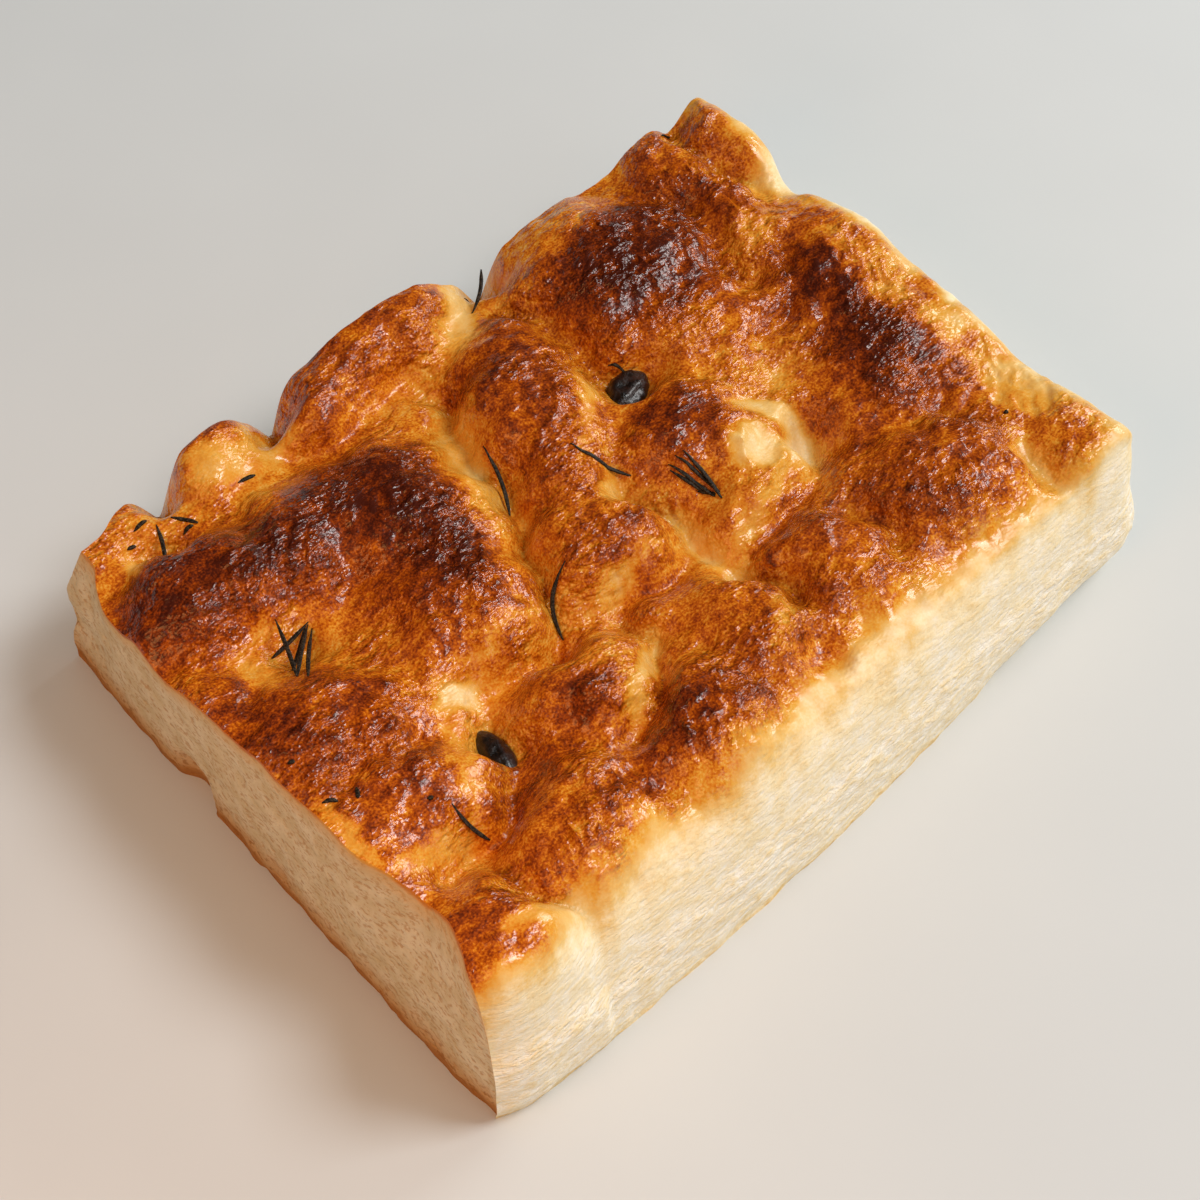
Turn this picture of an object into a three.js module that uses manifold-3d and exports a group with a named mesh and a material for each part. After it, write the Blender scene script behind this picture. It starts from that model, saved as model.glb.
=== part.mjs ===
// Focaccia: a corner piece cut from a tray bake, with black olives and rosemary.
// Millimetres, +Z up. The piece lies flat; the origin is at the middle of its underside.
// -X and +Y are knife cuts, -Y and +X are the baked sides that grew against the tray.
import * as THREE from "three";
import { mergeVertices } from "three/addons/utils/BufferGeometryUtils.js";
import Module from "manifold-3d";

// ---------- driving dimensions ----------
const DOUGH_BED = 37; // level that the dough keeps between pillows
const PILLOW_FOOT = 33; // level at a pillow's rim
const PILLOW_BLEND = 3; // how softly neighbouring pillows run together
const FURROW_SOFTNESS = 0.1; // rounds the bottom of a furrow, as a share of its half width
const FURROW_POWER = 1.8; // above 1 the furrow's flanks are round shouldered
const SHOULDER_WIDTH = 12; // the baked side turns into the top over this distance
const SHOULDER_POWER = 3; // superellipse power of that turn
const WALL_SHARE = 0.6; // share of the height that counts as wall
const FRONT_LEAN = 3.5; // how far the front wall leans in at its top
const FRONT_LEAN_AT_CUT = 1.2; // the same where the front wall meets the left cut
const RIGHT_LEAN = 0.8;
const FRONT_SHOULDER = 16; // width of the front wall's shoulder
const FRONT_SHOULDER_AT_CUT = 7; // the same where the front wall meets the left cut
const CUT_SET_BACK = 0.8; // the top of the left cut is set back this far everywhere
const CORNER_SET_BACK = 4.6; // and this much more at the far corner
const FAR_SET_BACK = 4.5; // as far as the far cut is set back at that corner
const WALL_RISE_POWER = 1.5; // above 1 a wall leans more near its top
const CUT_RISE_POWER = 2.5; // the same for the left cut
const TUCK = 5; // the tray's rounded lower corner, deepest at the baked corner
const TUCK_SHARE = 0.42; // share of the wall that the tuck takes
const TOP_CELLS_X = 58;
const TOP_CELLS_Y = 42;
const SHOULDER_SHARE = 0.12; // share of the rows spent on the shoulder
const WALL_ROWS = 6;
const FIT_GAP = 0.3; // clearance round each olive

// Base outline, corner by corner.
const FRONT_SIDE = [
  [-104.8, -73.1], [-94, -76.2], [-61, -76.6], [-26, -76.0], [9, -74.1],
  [44, -72.2], [74, -70.9], [90.5, -70.2], [97.6, -68.3],
];
const RIGHT_SIDE = [
  [97.6, -68.3], [100.7, -63], [101.5, -52], [101.3, -36], [101.8, -15],
  [103.9, 5], [104.8, 22], [104.4, 40], [105.2, 58], [104.4, 76],
];
const LEFT_SIDE = [
  [-104.8, -73.1], [-105.1, -58], [-104.4, -33], [-103.2, -5],
  [-101.9, 20], [-100.6, 48], [-98.6, 74.5],
];
const FAR_SIDE = [[-98.6, 74.5], [-40, 75.2], [40, 75.6], [104.4, 76]];

// Where the knife dragged the top of the left cut in: how far, middle y and reach.
const DRAGGED = [[2.2, -20, 45], [6.5, -50, 23]];

// Parts of the outline: where each begins and the distance it takes to grow to its full effect.
const CUT_X = -104; // where the front wall meets the left cut
const RIGHT_ZONE = { from: 88, over: 10 };
const FRONT_ZONE = { from: -60, over: 6 };
const LEFT_ZONE = { from: -80, over: 16 };
const LEFT_FAR_ZONE = { from: 52, over: 16 };
const FAR_CORNER = { x: -75, overX: 20, y: 60, overY: 12 };
const FRONT_LEAN_OVER = 44;
const SHOULDER_OVER = 45;
const TUCK_FROM = 20;
const TUCK_OVER = 70;

// Low notch in the left cut, and bulges in it: how far out, middle y, reach, middle z, reach.
const CUT_NOTCH = { from: 20, grows: 2.5, to: 35, fades: 6, below: 14, over: 5, depth: 2.8 };
const CUT_BULGES = [[0.8, 72, 16, 27, 9], [-1.8, 68, 14, 15, 8]];

// The front wall's lobe beside the cut, and the upright groove at the lobe's end.
const LOBE = { from: -75, over: 3, out: 1.3, fades: 0.2 };
const GROOVE = { x: -68, reachX: 9, z: 27, reachZ: 16, depth: 2.2 };

// Pillows of risen dough: middle x and y, half length, half width, turn in degrees, top.
const PILLOWS = [
  [-88, 66.5, 16, 12, 0, 37.5], // corner bump
  [-57, 71, 13, 13, 0, 43], // pale bump
  [-80, 43, 25, 18, -8, 47], // left crown
  [-58, 39.5, 19, 18, 0, 46], // left crown, inner half
  [-39, 32.5, 24, 26, 20, 46], // middle crown
  [-45, 5.5, 27, 23, 20, 44.5], // slope of the middle crown
  [-29, 67.5, 17, 15, 0, 44], // back ridge, left end
  [-7, 71.5, 27, 16, -4, 46.5], // back ridge
  [3, 35.5, 31, 20, 70, 46.5], // centre
  [-11, -2.5, 21, 16, 15, 43.5], // foot of the centre
  [45, 51.5, 31, 30, 0, 46.5], // back crown
  [51, 26.5, 26, 22, 0, 41.5], // skirt of the back crown
  [77, 65.5, 13, 19, 0, 44], // right end of the back crown
  [77, 45.5, 14, 19, 0, 43], // skirt of the right end
  [97, 67.5, 15, 22, 0, 45.5], // far corner
  [84, 19.5, 24, 27, 0, 44.5], // right crown
  [77, -8.5, 26, 21, 0, 43], // foot of the right crown
  [26, 5.5, 18, 20, 0, 44.5], // small crown
  [23, -10.5, 20, 17, 0, 40], // foot of the small crown
  [58, -42, 27, 20, 0, 45], // front crown
  [23, -40.5, 18, 20, 0, 43], // front ridge
  [90, -57, 18, 24, 0, 41.5], // baked corner
  [97, -8, 14, 24, 0, 41], // right edge, front half
  [98, 24, 12, 22, 0, 42], // right edge
  [-4, 14, 14, 14, 0, 43.5], // waist of the centre
  [-3, -42.5, 15, 22, 0, 43], // front middle
  [-26, -53.5, 21, 20, 0, 45], // front, left of the middle
  [-37, -29.5, 18, 15, 0, 44], // lens pillow
  [-63, -53.5, 25, 19, 0, 44.5], // front left
  [-93, -63, 21, 23, 0, 47.5], // front corner
  [-86, -2, 28, 20, 0, 46.5], // side crown
  [-86, -27, 28, 17, 0, 46], // foot of the side crown
  [-98, -24, 13, 34, 0, 45.5], // side edge
  [-99, 15, 13, 20, 0, 43], // side edge, upper half
];
const PILLOW_POWER = 2.5;

// Finger dimples: middle x and y, half length, half width, turn in degrees, depth.
const DIMPLES = [
  [-76, 20, 9, 8, 0, 4.5], // needle hollow
  [-59, 8.5, 9, 12, 0, 3], // side dimple
  [26, 25.5, 12, 9, 0, 7], // round the back olive
  [45.5, -13.5, 9.5, 10.5, 20, 10], // deep pit
  [-58, -25, 9, 12, 6, 8], // round the front olive
  [3.5, -55.5, 9, 8, 0, 3], // front shoulder
  [102, 45.5, 11, 9, 0, 4], // right edge
  [101, -4.5, 7, 4, 0, 2], // right edge notch
  [-80, 58, 11, 8, 0, 5], // behind the left crown
  [11, -10.5, 10, 14, 0, 2.5], // beside the small crown
  [53, 3.5, 12, 13, 20, 2], // slope towards the deep pit
];

// Furrows between pillows: half width, depth, and the line of the furrow.
const FURROWS = [
  [8, 14, [[-70, 86], [-71, 73]]], // far cut, left notch
  [9, 14, [[-37, 88], [-39.5, 71]]], // far cut, middle notch
  [8, 14, [[26, 90], [24, 72]]], // far cut, right notch
  [11, 5, [[21, 71.5], [7, 63.5], [-7, 61.5]]], // behind the centre
  [10, 4, [[-7, 61.5], [-26, 56.5], [-43, 59.5]]], // behind the middle crown
  [8, 7, [[-9, 51.5], [-14, 31.5], [-17, 13.5], [-25, -1.5], [-35, -13.5]]], // middle
  [8, 7, [[4, 5.5], [6, -10.5], [8, -22.5], [11, -42.5]]], // left of the small crown
  [9, 6.5, [[-53, -15.5], [-35, -15.5], [-21, -16.5], [1, -18.5]]], // cross furrow
  [7, 5.5, [[-18, -20.5], [-18, -30.5], [-25, -37.5], [-39, -44.5]]], // round the lens pillow
  [9, 6, [[-88, -43.5], [-75, -41.5], [-63, -34.5]]], // side furrow
  [8, 6, [[43, -20.5], [31, -22.5], [17, -26.5], [9, -31.5]]], // below the small crown
  [7, 4, [[34, -31.5], [37, -46.5]]], // front ridge to front crown
  [9, 5.5, [[22, 59.5], [24, 43.5], [26, 31.5]]], // right of the centre
  [7, 3, [[88, 73.5], [87, 47.5]]], // beside the far corner
  [8, 3, [[71, 61.5], [70, 43.5], [65, 27.5]]], // fold in the back crown
  [7, 4, [[57, 14.5], [69, 17.5], [79, 27.5]]], // star crease
  [8, 4, [[-80, -46], [-78, -60.5], [-74.5, -74.5]]], // front corner
  [7, 3.5, [[71, -28.5], [74, -46.5], [76, -60.5]]], // baked corner
];

// Olives: middle x and y, half sizes, turn and tilt in degrees, share sunk, share lost to the tail.
const OLIVES = [
  { name: "olive_1", x: 26, y: 26.2, half: [7.8, 5.3, 4.6], turn: 28, tilt: 0, sunk: 0.35, tail: 0.45 },
  { name: "olive_2", x: -60.3, y: -25.3, half: [7.2, 3.3, 3.5], turn: 84, tilt: 0, sunk: 0.4, tail: 0 },
];
const OLIVE_SIDES = 18;
const OLIVE_RINGS = 12;

// Rosemary needles: both ends [x, y], sideways bend, and how high each end lies over the crust.
const NEEDLES = [
  [[14.5, 65.9], [22.9, 71.9], -0.8, -0.4, 15.4],
  [[-12.2, 32.1], [-18.2, 16.8], 1, -0.6, -0.6],
  [[-0.4, 16.7], [7.6, 5.7], -1, -0.6, -0.6],
  [[17.4, -0.2], [16.7, -13.2], 0.6, -0.6, -0.6],
  [[15.7, 0.4], [17.7, -11.6], 0.2, -0.6, -0.6],
  [[13.7, 0.5], [16.3, -11.5], 0.2, -0.6, -0.6],
  [[13.2, -0.6], [16.3, -10.4], -0.2, -0.6, -0.6],
  [[14.7, -7.8], [16.8, -11.2], 0.2, -0.6, -0.6],
  [[-21.2, -4.0], [-30.6, -13.4], -2.5, -0.6, -0.6],
  [[-75.0, 26.8], [-81.8, 11.1], 0.2, -0.15, -0.15],
  [[-69.3, 23.3], [-80.1, 22.3], 0.2, -0.45, -0.45],
  [[-70.1, 23.4], [-79.4, 16.3], 0.2, -0.55, -0.55],
  [[-69.7, 23.0], [-81.2, 11.8], -0.2, -0.4, -0.5],
  [[-69.5, 21.9], [-80.2, 9.4], -0.3, -0.6, -0.6],
  [[-77.1, 64.9], [-81.2, 56.6], 0.3, -0.6, -0.6],
  [[-81.8, 66.5], [-78.1, 66.9], 0.2, -0.6, -0.6],
  [[-85.4, 64.4], [-83.2, 64.5], 0.1, -0.6, -0.6],
  [[-73.5, 64.6], [-70.1, 59.4], 0.2, -0.6, -0.6],
  [[-74.0, 59.6], [-71.3, 59.6], 0.3, -0.6, -0.6],
  [[-57.3, 61.5], [-53.0, 61.1], 0.2, -0.6, -0.6],
  [[-79.1, -33.6], [-76.0, -41.0], -0.8, -0.6, -0.6],
  [[26.0, 32.4], [28.8, 28.7], 0.2, -0.5, -0.4],
  [[-98.3, -17.1], [-95.6, -18.8], 0.3, -0.6, -0.6],
  [[-90.8, -18.5], [-92.4, -21.0], 0.1, -0.6, -0.6],
];
const NEEDLE_HALF_WIDTH = 0.65;
const NEEDLE_HALF_HEIGHT = 0.5;
const NEEDLE_STEPS = 6;
const NEEDLE_SIDES = 5;

// ---------- small helpers ----------
const { sin, cos, hypot, sqrt, min, max, abs, PI } = Math;

function smoothMax(a, b, softness) {
  return 0.5 * (a + b + hypot(a - b, softness));
}

function smoothStep(value) {
  const t = min(max(value, 0), 1);
  return t * t * (3 - 2 * t);
}

// 1 at the middle and 0 beyond its reach.
function bump(value, middle, reach) {
  const q = min(abs((value - middle) / reach), 1);
  return (1 - q * q) ** 2;
}

function distanceToLine(x, y, line) {
  let nearest = Infinity;
  for (let i = 0; i + 1 < line.length; i++) {
    const [ax, ay] = line[i];
    const ex = line[i + 1][0] - ax;
    const ey = line[i + 1][1] - ay;
    const t = min(max(((x - ax) * ex + (y - ay) * ey) / (ex * ex + ey * ey), 0), 1);
    nearest = min(nearest, hypot(x - ax - t * ex, y - ay - t * ey));
  }
  return nearest;
}

function ellipseRadius(x, y, [cx, cy, a, b, turn]) {
  const t = THREE.MathUtils.degToRad(turn);
  const dx = x - cx;
  const dy = y - cy;
  return hypot((dx * cos(t) + dy * sin(t)) / a, (dy * cos(t) - dx * sin(t)) / b);
}

// ---------- the top of the bread ----------
// Slow waves bend every outline a little, so that no pillow is a true ellipse.
function warp(x, y) {
  return [
    x + 1.3 * sin(0.21 * y + 0.385) + 0.8 * sin(0.47 * y + 0.13 * x + 1.52),
    y + 1.3 * sin(0.19 * x + 2.13) + 0.8 * sin(0.43 * x - 0.17 * y + 1.17),
  ];
}

function crustHeight(x, y) {
  const [wx, wy] = warp(x, y);
  let height = DOUGH_BED;
  for (const pillow of PILLOWS) {
    const rise = (pillow[5] - PILLOW_FOOT) * (1 - ellipseRadius(wx, wy, pillow) ** PILLOW_POWER);
    height = smoothMax(height, PILLOW_FOOT + rise, PILLOW_BLEND);
  }
  for (const dimple of DIMPLES) {
    const q = min(ellipseRadius(wx, wy, dimple), 1);
    height -= dimple[5] * (1 - q * q) ** 2;
  }
  for (const [halfWidth, depth, line] of FURROWS) {
    const q = hypot(distanceToLine(wx, wy, line) / halfWidth, FURROW_SOFTNESS);
    height -= depth * max(1 - q, 0) ** FURROW_POWER;
  }
  return height;
}

// Share of the full height at a distance in from a baked side.
function shoulder(distance) {
  const s = min(distance / SHOULDER_WIDTH, 1);
  return (1 - (1 - s) ** SHOULDER_POWER) ** (1 / SHOULDER_POWER);
}

// Distance at which the shoulder starts, where the wall ends.
const WALL_DISTANCE =
  SHOULDER_WIDTH * (1 - (1 - WALL_SHARE ** SHOULDER_POWER) ** (1 / SHOULDER_POWER));

// ---------- outline ----------
function spreadPoints(corners, shares) {
  const curve = new THREE.SplineCurve(corners.map(([x, y]) => new THREE.Vector2(x, y)));
  return shares.map((share) => curve.getPointAt(share));
}

// 0 where the front wall meets the left cut and 1 farther along it.
function awayFromCut(x, distance) {
  return smoothStep((x - CUT_X) / distance);
}

// How far a place is inside each zone, from 0 to 1.
const zone = {
  right: ({ x }) => smoothStep((x - RIGHT_ZONE.from) / RIGHT_ZONE.over),
  front: ({ y }) => smoothStep((FRONT_ZONE.from - y) / FRONT_ZONE.over),
  left: ({ x }) => smoothStep((LEFT_ZONE.from - x) / LEFT_ZONE.over),
  leftFar: ({ y }) => smoothStep((y - LEFT_FAR_ZONE.from) / LEFT_FAR_ZONE.over),
  farCorner: ({ x, y }) =>
    smoothStep((FAR_CORNER.x - x) / FAR_CORNER.overX) * smoothStep((y - FAR_CORNER.y) / FAR_CORNER.overY),
};

// All four walls lean in as they rise, the left one most where the knife dragged.
function leanIn(point) {
  let setBack = CUT_SET_BACK + CORNER_SET_BACK * zone.leftFar(point);
  for (const [amount, middle, reach] of DRAGGED) {
    setBack += amount * bump(point.y, middle, reach);
  }
  const frontLean =
    FRONT_LEAN_AT_CUT + (FRONT_LEAN - FRONT_LEAN_AT_CUT) * awayFromCut(point.x, FRONT_LEAN_OVER);
  return new THREE.Vector2(
    point.x - RIGHT_LEAN * zone.right(point) + setBack * zone.left(point),
    point.y + frontLean * zone.front(point) - FAR_SET_BACK * zone.farCorner(point),
  );
}

// How far a wall point stands out: a notch and a bulge in the left cut, a lobe on the front.
function wallOffset(side, { x, y }, t, z) {
  if (side === "left") {
    const { from, grows, to, fades, below, over, depth } = CUT_NOTCH;
    const along = smoothStep((y - from) / grows) * smoothStep((to - y) / fades);
    const bulges = CUT_BULGES.map(([out, midY, reachY, midZ, reachZ]) =>
      out * bump(y, midY, reachY) * bump(z, midZ, reachZ));
    return bulges.reduce((a, b) => a + b) - depth * along * smoothStep((below - z) / over);
  }
  if (side === "front") {
    const lobe = LOBE.out * smoothStep((LOBE.from - x) / LOBE.over);
    const groove = GROOVE.depth * bump(x, GROOVE.x, GROOVE.reachX) * bump(z, GROOVE.z, GROOVE.reachZ);
    return (lobe - groove) * smoothStep(t / LOBE.fades);
  }
  return 0;
}

function tuckUnder(point) {
  const front = zone.front(point) * smoothStep((point.x - TUCK_FROM) / TUCK_OVER);
  return new THREE.Vector2(-TUCK * zone.right(point), TUCK * front);
}

// Shares of a length, close together near the baked side at 0.
function gradedShares(cells, length) {
  const near = Math.round(cells * SHOULDER_SHARE);
  const shares = [];
  for (let k = 0; k <= cells; k++) {
    const distance =
      k <= near
        ? SHOULDER_WIDTH * (1 - cos((k / near) * (PI / 2)))
        : SHOULDER_WIDTH + ((length - SHOULDER_WIDTH) * (k - near)) / (cells - near);
    shares.push(distance / length);
  }
  return shares;
}

// ---------- the bread body ----------
const LENGTH = RIGHT_SIDE.at(-1)[0] - LEFT_SIDE.at(-1)[0];
const DEPTH = LEFT_SIDE.at(-1)[1] - LEFT_SIDE[0][1];

function breadGeometry() {
  const alongX = gradedShares(TOP_CELLS_X, LENGTH).map((s) => 1 - s).reverse();
  const alongY = gradedShares(TOP_CELLS_Y, DEPTH);
  const base = {
    front: spreadPoints(FRONT_SIDE, alongX),
    right: spreadPoints(RIGHT_SIDE, alongY),
    left: spreadPoints(LEFT_SIDE, alongY),
    far: spreadPoints(FAR_SIDE, alongX),
  };
  const rim = Object.fromEntries(
    Object.entries(base).map(([side, points]) => [side, points.map(leanIn)]),
  );
  const corner = {
    frontLeft: rim.front[0], frontRight: rim.front.at(-1),
    farLeft: rim.far[0], farRight: rim.far.at(-1),
  };
  const positions = [];
  const triangles = [];

  // Top: a patch stretched between the four rims, raised to the crust's height.
  const top = [];
  for (let i = 0; i <= TOP_CELLS_X; i++) {
    top.push([]);
    for (let j = 0; j <= TOP_CELLS_Y; j++) {
      const u = alongX[i];
      const v = alongY[j];
      const blend = (axis) =>
        (1 - v) * rim.front[i][axis] + v * rim.far[i][axis] +
        (1 - u) * rim.left[j][axis] + u * rim.right[j][axis] -
        (1 - u) * (1 - v) * corner.frontLeft[axis] - u * (1 - v) * corner.frontRight[axis] -
        (1 - u) * v * corner.farLeft[axis] - u * v * corner.farRight[axis];
      const x = blend("x");
      const y = blend("y");
      const roundness =
        FRONT_SHOULDER_AT_CUT + (FRONT_SHOULDER - FRONT_SHOULDER_AT_CUT) * awayFromCut(x, SHOULDER_OVER);
      const fromFront = (v * DEPTH * SHOULDER_WIDTH) / roundness + WALL_DISTANCE;
      const fromRight = (1 - u) * LENGTH + WALL_DISTANCE;
      const fromSides = (fromFront ** -4 + fromRight ** -4) ** -0.25;
      top[i].push(positions.length / 3);
      positions.push(x, y, crustHeight(x, y) * shoulder(fromSides));
    }
  }
  for (let i = 0; i < TOP_CELLS_X; i++) {
    for (let j = 0; j < TOP_CELLS_Y; j++) {
      const [a, b, c, d] = [top[i][j], top[i + 1][j], top[i + 1][j + 1], top[i][j + 1]];
      triangles.push(a, b, c, a, c, d);
    }
  }

  // Walls: rings from the rim down to the base, anticlockwise seen from above.
  const rimRing = [];
  const baseRing = [];
  const sideRing = [];
  const side = (name, indices, points) => {
    indices.slice(0, -1).forEach((index, k) => {
      rimRing.push(index);
      baseRing.push(points[k]);
      sideRing.push(name);
    });
  };
  side("front", top.map((column) => column[0]), base.front);
  side("right", top.at(-1), base.right);
  side("far", top.map((column) => column.at(-1)).reverse(), [...base.far].reverse());
  side("left", [...top[0]].reverse(), [...base.left].reverse());
  const outward = baseRing.map((_, k) => {
    const ahead = baseRing[(k + 1) % baseRing.length];
    const forward = ahead.clone().sub(baseRing.at(k - 1)).normalize();
    return new THREE.Vector2(forward.y, -forward.x);
  });
  let upper = rimRing;
  for (let row = WALL_ROWS - 1; row >= 0; row--) {
    const t = row / WALL_ROWS;
    const lower = rimRing.map((index, k) => {
      const [rimX, rimY, rimZ] = positions.slice(3 * index, 3 * index + 3);
      const rise = t ** (sideRing[k] === "left" ? CUT_RISE_POWER : WALL_RISE_POWER);
      const tuck = tuckUnder(baseRing[k]).multiplyScalar(max(1 - t / TUCK_SHARE, 0) ** 2);
      const offset = wallOffset(sideRing[k], baseRing[k], t, rimZ * t);
      positions.push(
        baseRing[k].x + (rimX - baseRing[k].x) * rise + tuck.x + outward[k].x * offset,
        baseRing[k].y + (rimY - baseRing[k].y) * rise + tuck.y + outward[k].y * offset,
        rimZ * t,
      );
      return positions.length / 3 - 1;
    });
    lower.forEach((index, k) => {
      const next = (k + 1) % lower.length;
      triangles.push(upper[k], index, lower[next], upper[k], lower[next], upper[next]);
    });
    upper = lower;
  }

  // Underside: the last ring filled flat, facing down.
  const floor = upper.map((i) => new THREE.Vector2(positions[3 * i], positions[3 * i + 1]));
  for (const [a, b, c] of THREE.ShapeUtils.triangulateShape(floor, [])) {
    triangles.push(upper[c], upper[b], upper[a]);
  }

  const geometry = new THREE.BufferGeometry();
  geometry.setAttribute("position", new THREE.Float32BufferAttribute(positions, 3));
  geometry.setIndex(triangles);
  return geometry;
}

// ---------- olives ----------
// A shrivelled olive: an ovoid with long shallow wrinkles, sunk into its dimple.
function oliveGeometry({ x, y, half, turn, tilt, sunk, tail }, grow = 0) {
  const geometry = new THREE.SphereGeometry(1, OLIVE_SIDES, OLIVE_RINGS);
  const place = geometry.getAttribute("position");
  for (let i = 0; i < place.count; i++) {
    const p = new THREE.Vector3().fromBufferAttribute(place, i);
    const around = Math.atan2(p.z, p.y);
    const wrinkle =
      1 + 0.04 * sin(5 * around + 2 * p.x) * (1 - p.x * p.x) - tail * (0.5 - 0.5 * p.x) ** 2;
    place.setXYZ(
      i, p.x * (half[0] + grow), p.y * (half[1] * wrinkle + grow), p.z * (half[2] * wrinkle + grow),
    );
  }
  geometry.rotateY(THREE.MathUtils.degToRad(tilt));
  geometry.rotateZ(THREE.MathUtils.degToRad(turn));
  geometry.translate(x, y, crustHeight(x, y) + half[2] * (1 - 2 * sunk));
  return geometry;
}

// ---------- rosemary ----------
// A needle is a slim closed spindle that follows the crust, one end a little proud of it.
function needleGeometry([from, to, bend, liftFrom, liftTo]) {
  const along = new THREE.Vector2(to[0] - from[0], to[1] - from[1]);
  const across = new THREE.Vector2(-along.y, along.x).normalize();
  const positions = [];
  const triangles = [];
  const centre = (t) => {
    const sway = bend * sin(PI * t);
    const x = from[0] + along.x * t + across.x * sway;
    const y = from[1] + along.y * t + across.y * sway;
    return [x, y, t];
  };
  const endHeights = [0, 1].map((t) => crustHeight(...centre(t).slice(0, 2)));
  const heightAt = (x, y, t) => {
    const straight = endHeights[0] + liftFrom + (endHeights[1] + liftTo - endHeights[0] - liftFrom) * t;
    return max(straight, crustHeight(x, y) - 0.1);
  };
  for (let k = 0; k <= NEEDLE_STEPS; k++) {
    const t = k / NEEDLE_STEPS;
    const [x, y] = centre(t);
    const z = heightAt(x, y, t);
    const taper = 0.25 + 0.75 * sin(PI * (0.12 + 0.76 * t));
    for (let s = 0; s < NEEDLE_SIDES; s++) {
      const angle = (2 * PI * s) / NEEDLE_SIDES;
      const side = NEEDLE_HALF_WIDTH * taper * cos(angle);
      positions.push(
        x + across.x * side, y + across.y * side, z + NEEDLE_HALF_HEIGHT * taper * sin(angle),
      );
    }
  }
  const ring = (k, s) => k * NEEDLE_SIDES + (s % NEEDLE_SIDES);
  for (let k = 0; k < NEEDLE_STEPS; k++) {
    for (let s = 0; s < NEEDLE_SIDES; s++) {
      triangles.push(ring(k, s), ring(k, s + 1), ring(k + 1, s + 1));
      triangles.push(ring(k, s), ring(k + 1, s + 1), ring(k + 1, s));
    }
  }
  for (let s = 1; s + 1 < NEEDLE_SIDES; s++) {
    triangles.push(ring(0, 0), ring(0, s + 1), ring(0, s));
    triangles.push(ring(NEEDLE_STEPS, 0), ring(NEEDLE_STEPS, s), ring(NEEDLE_STEPS, s + 1));
  }
  const geometry = new THREE.BufferGeometry();
  geometry.setAttribute("position", new THREE.Float32BufferAttribute(positions, 3));
  geometry.setIndex(triangles);
  return geometry;
}

// ---------- joining and cutting ----------
const wasm = await Module();
wasm.setup();

function toSolid(geometry) {
  const bare = geometry.clone();
  bare.deleteAttribute("normal");
  bare.deleteAttribute("uv");
  const merged = mergeVertices(bare, 1e-4);
  const solid = new wasm.Manifold(
    new wasm.Mesh({
      numProp: 3,
      vertProperties: new Float32Array(merged.getAttribute("position").array),
      triVerts: new Uint32Array(merged.getIndex().array),
    }),
  );
  return solid.volume() < 0 ? toSolid(flipped(merged)) : solid;
}

function flipped(geometry) {
  const index = Array.from(geometry.getIndex().array);
  for (let i = 0; i < index.length; i += 3) {
    [index[i], index[i + 1]] = [index[i + 1], index[i]];
  }
  geometry.setIndex(index);
  return geometry;
}

function toGeometry(solid) {
  const mesh = solid.getMesh();
  const geometry = new THREE.BufferGeometry();
  geometry.setAttribute("position", new THREE.Float32BufferAttribute(mesh.vertProperties, 3));
  geometry.setIndex(Array.from(mesh.triVerts));
  geometry.computeVertexNormals();
  return geometry;
}

// ---------- the piece ----------
function breadSolid() {
  let solid = toSolid(breadGeometry());
  for (const needle of NEEDLES) {
    solid = solid.add(toSolid(needleGeometry(needle)));
  }
  for (const olive of OLIVES) {
    solid = solid.subtract(toSolid(oliveGeometry(olive, FIT_GAP)));
  }
  // Cutting the sockets can leave a loose crumb, so only the bread itself is kept.
  return solid.decompose().sort((a, b) => b.volume() - a.volume())[0];
}

function piece(name, geometry, color, roughness) {
  const material = new THREE.MeshStandardMaterial({ color, roughness, metalness: 0 });
  const mesh = new THREE.Mesh(geometry, material);
  mesh.name = name;
  return mesh;
}

const focaccia = new THREE.Group();
focaccia.add(piece("bread", toGeometry(breadSolid()), 0xb5651d, 0.4));
for (const olive of OLIVES) {
  focaccia.add(piece(olive.name, toGeometry(toSolid(oliveGeometry(olive))), 0x1c1512, 0.3));
}

export default focaccia;
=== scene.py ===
# %% [markdown]
# # A corner piece of focaccia, with black olives and rosemary
# Focaccia is a soft, wet dough that is dimpled with the fingertips, oiled and baked in a tray.
# This piece was cut from a corner of the tray. Two of its sides grew against the metal and are
# pale and smooth, and the other two were cut with a knife and show the crumb.
# The lesson builds the bread as one fine mesh, colours it with a few painted fields and noise,
# and then lays the olives and the rosemary on top.

import math

import bpy
import numpy as np
from mathutils import Matrix, Vector


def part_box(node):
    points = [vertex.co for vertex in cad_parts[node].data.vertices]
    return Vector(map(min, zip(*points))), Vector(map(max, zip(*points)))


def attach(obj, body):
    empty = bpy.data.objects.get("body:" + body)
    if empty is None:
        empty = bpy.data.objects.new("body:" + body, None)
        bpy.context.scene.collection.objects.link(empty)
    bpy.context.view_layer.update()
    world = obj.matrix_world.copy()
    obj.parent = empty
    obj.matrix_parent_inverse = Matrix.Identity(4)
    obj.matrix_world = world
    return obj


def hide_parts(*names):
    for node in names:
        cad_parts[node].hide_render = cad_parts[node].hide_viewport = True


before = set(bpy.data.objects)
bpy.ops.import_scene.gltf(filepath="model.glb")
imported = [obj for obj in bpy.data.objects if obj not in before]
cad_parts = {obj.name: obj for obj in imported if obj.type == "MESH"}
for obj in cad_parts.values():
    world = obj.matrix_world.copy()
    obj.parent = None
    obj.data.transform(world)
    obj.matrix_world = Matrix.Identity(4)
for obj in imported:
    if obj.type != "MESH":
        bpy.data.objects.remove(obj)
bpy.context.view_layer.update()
MM = 0.001
print("nodes:", sorted(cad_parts))

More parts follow.
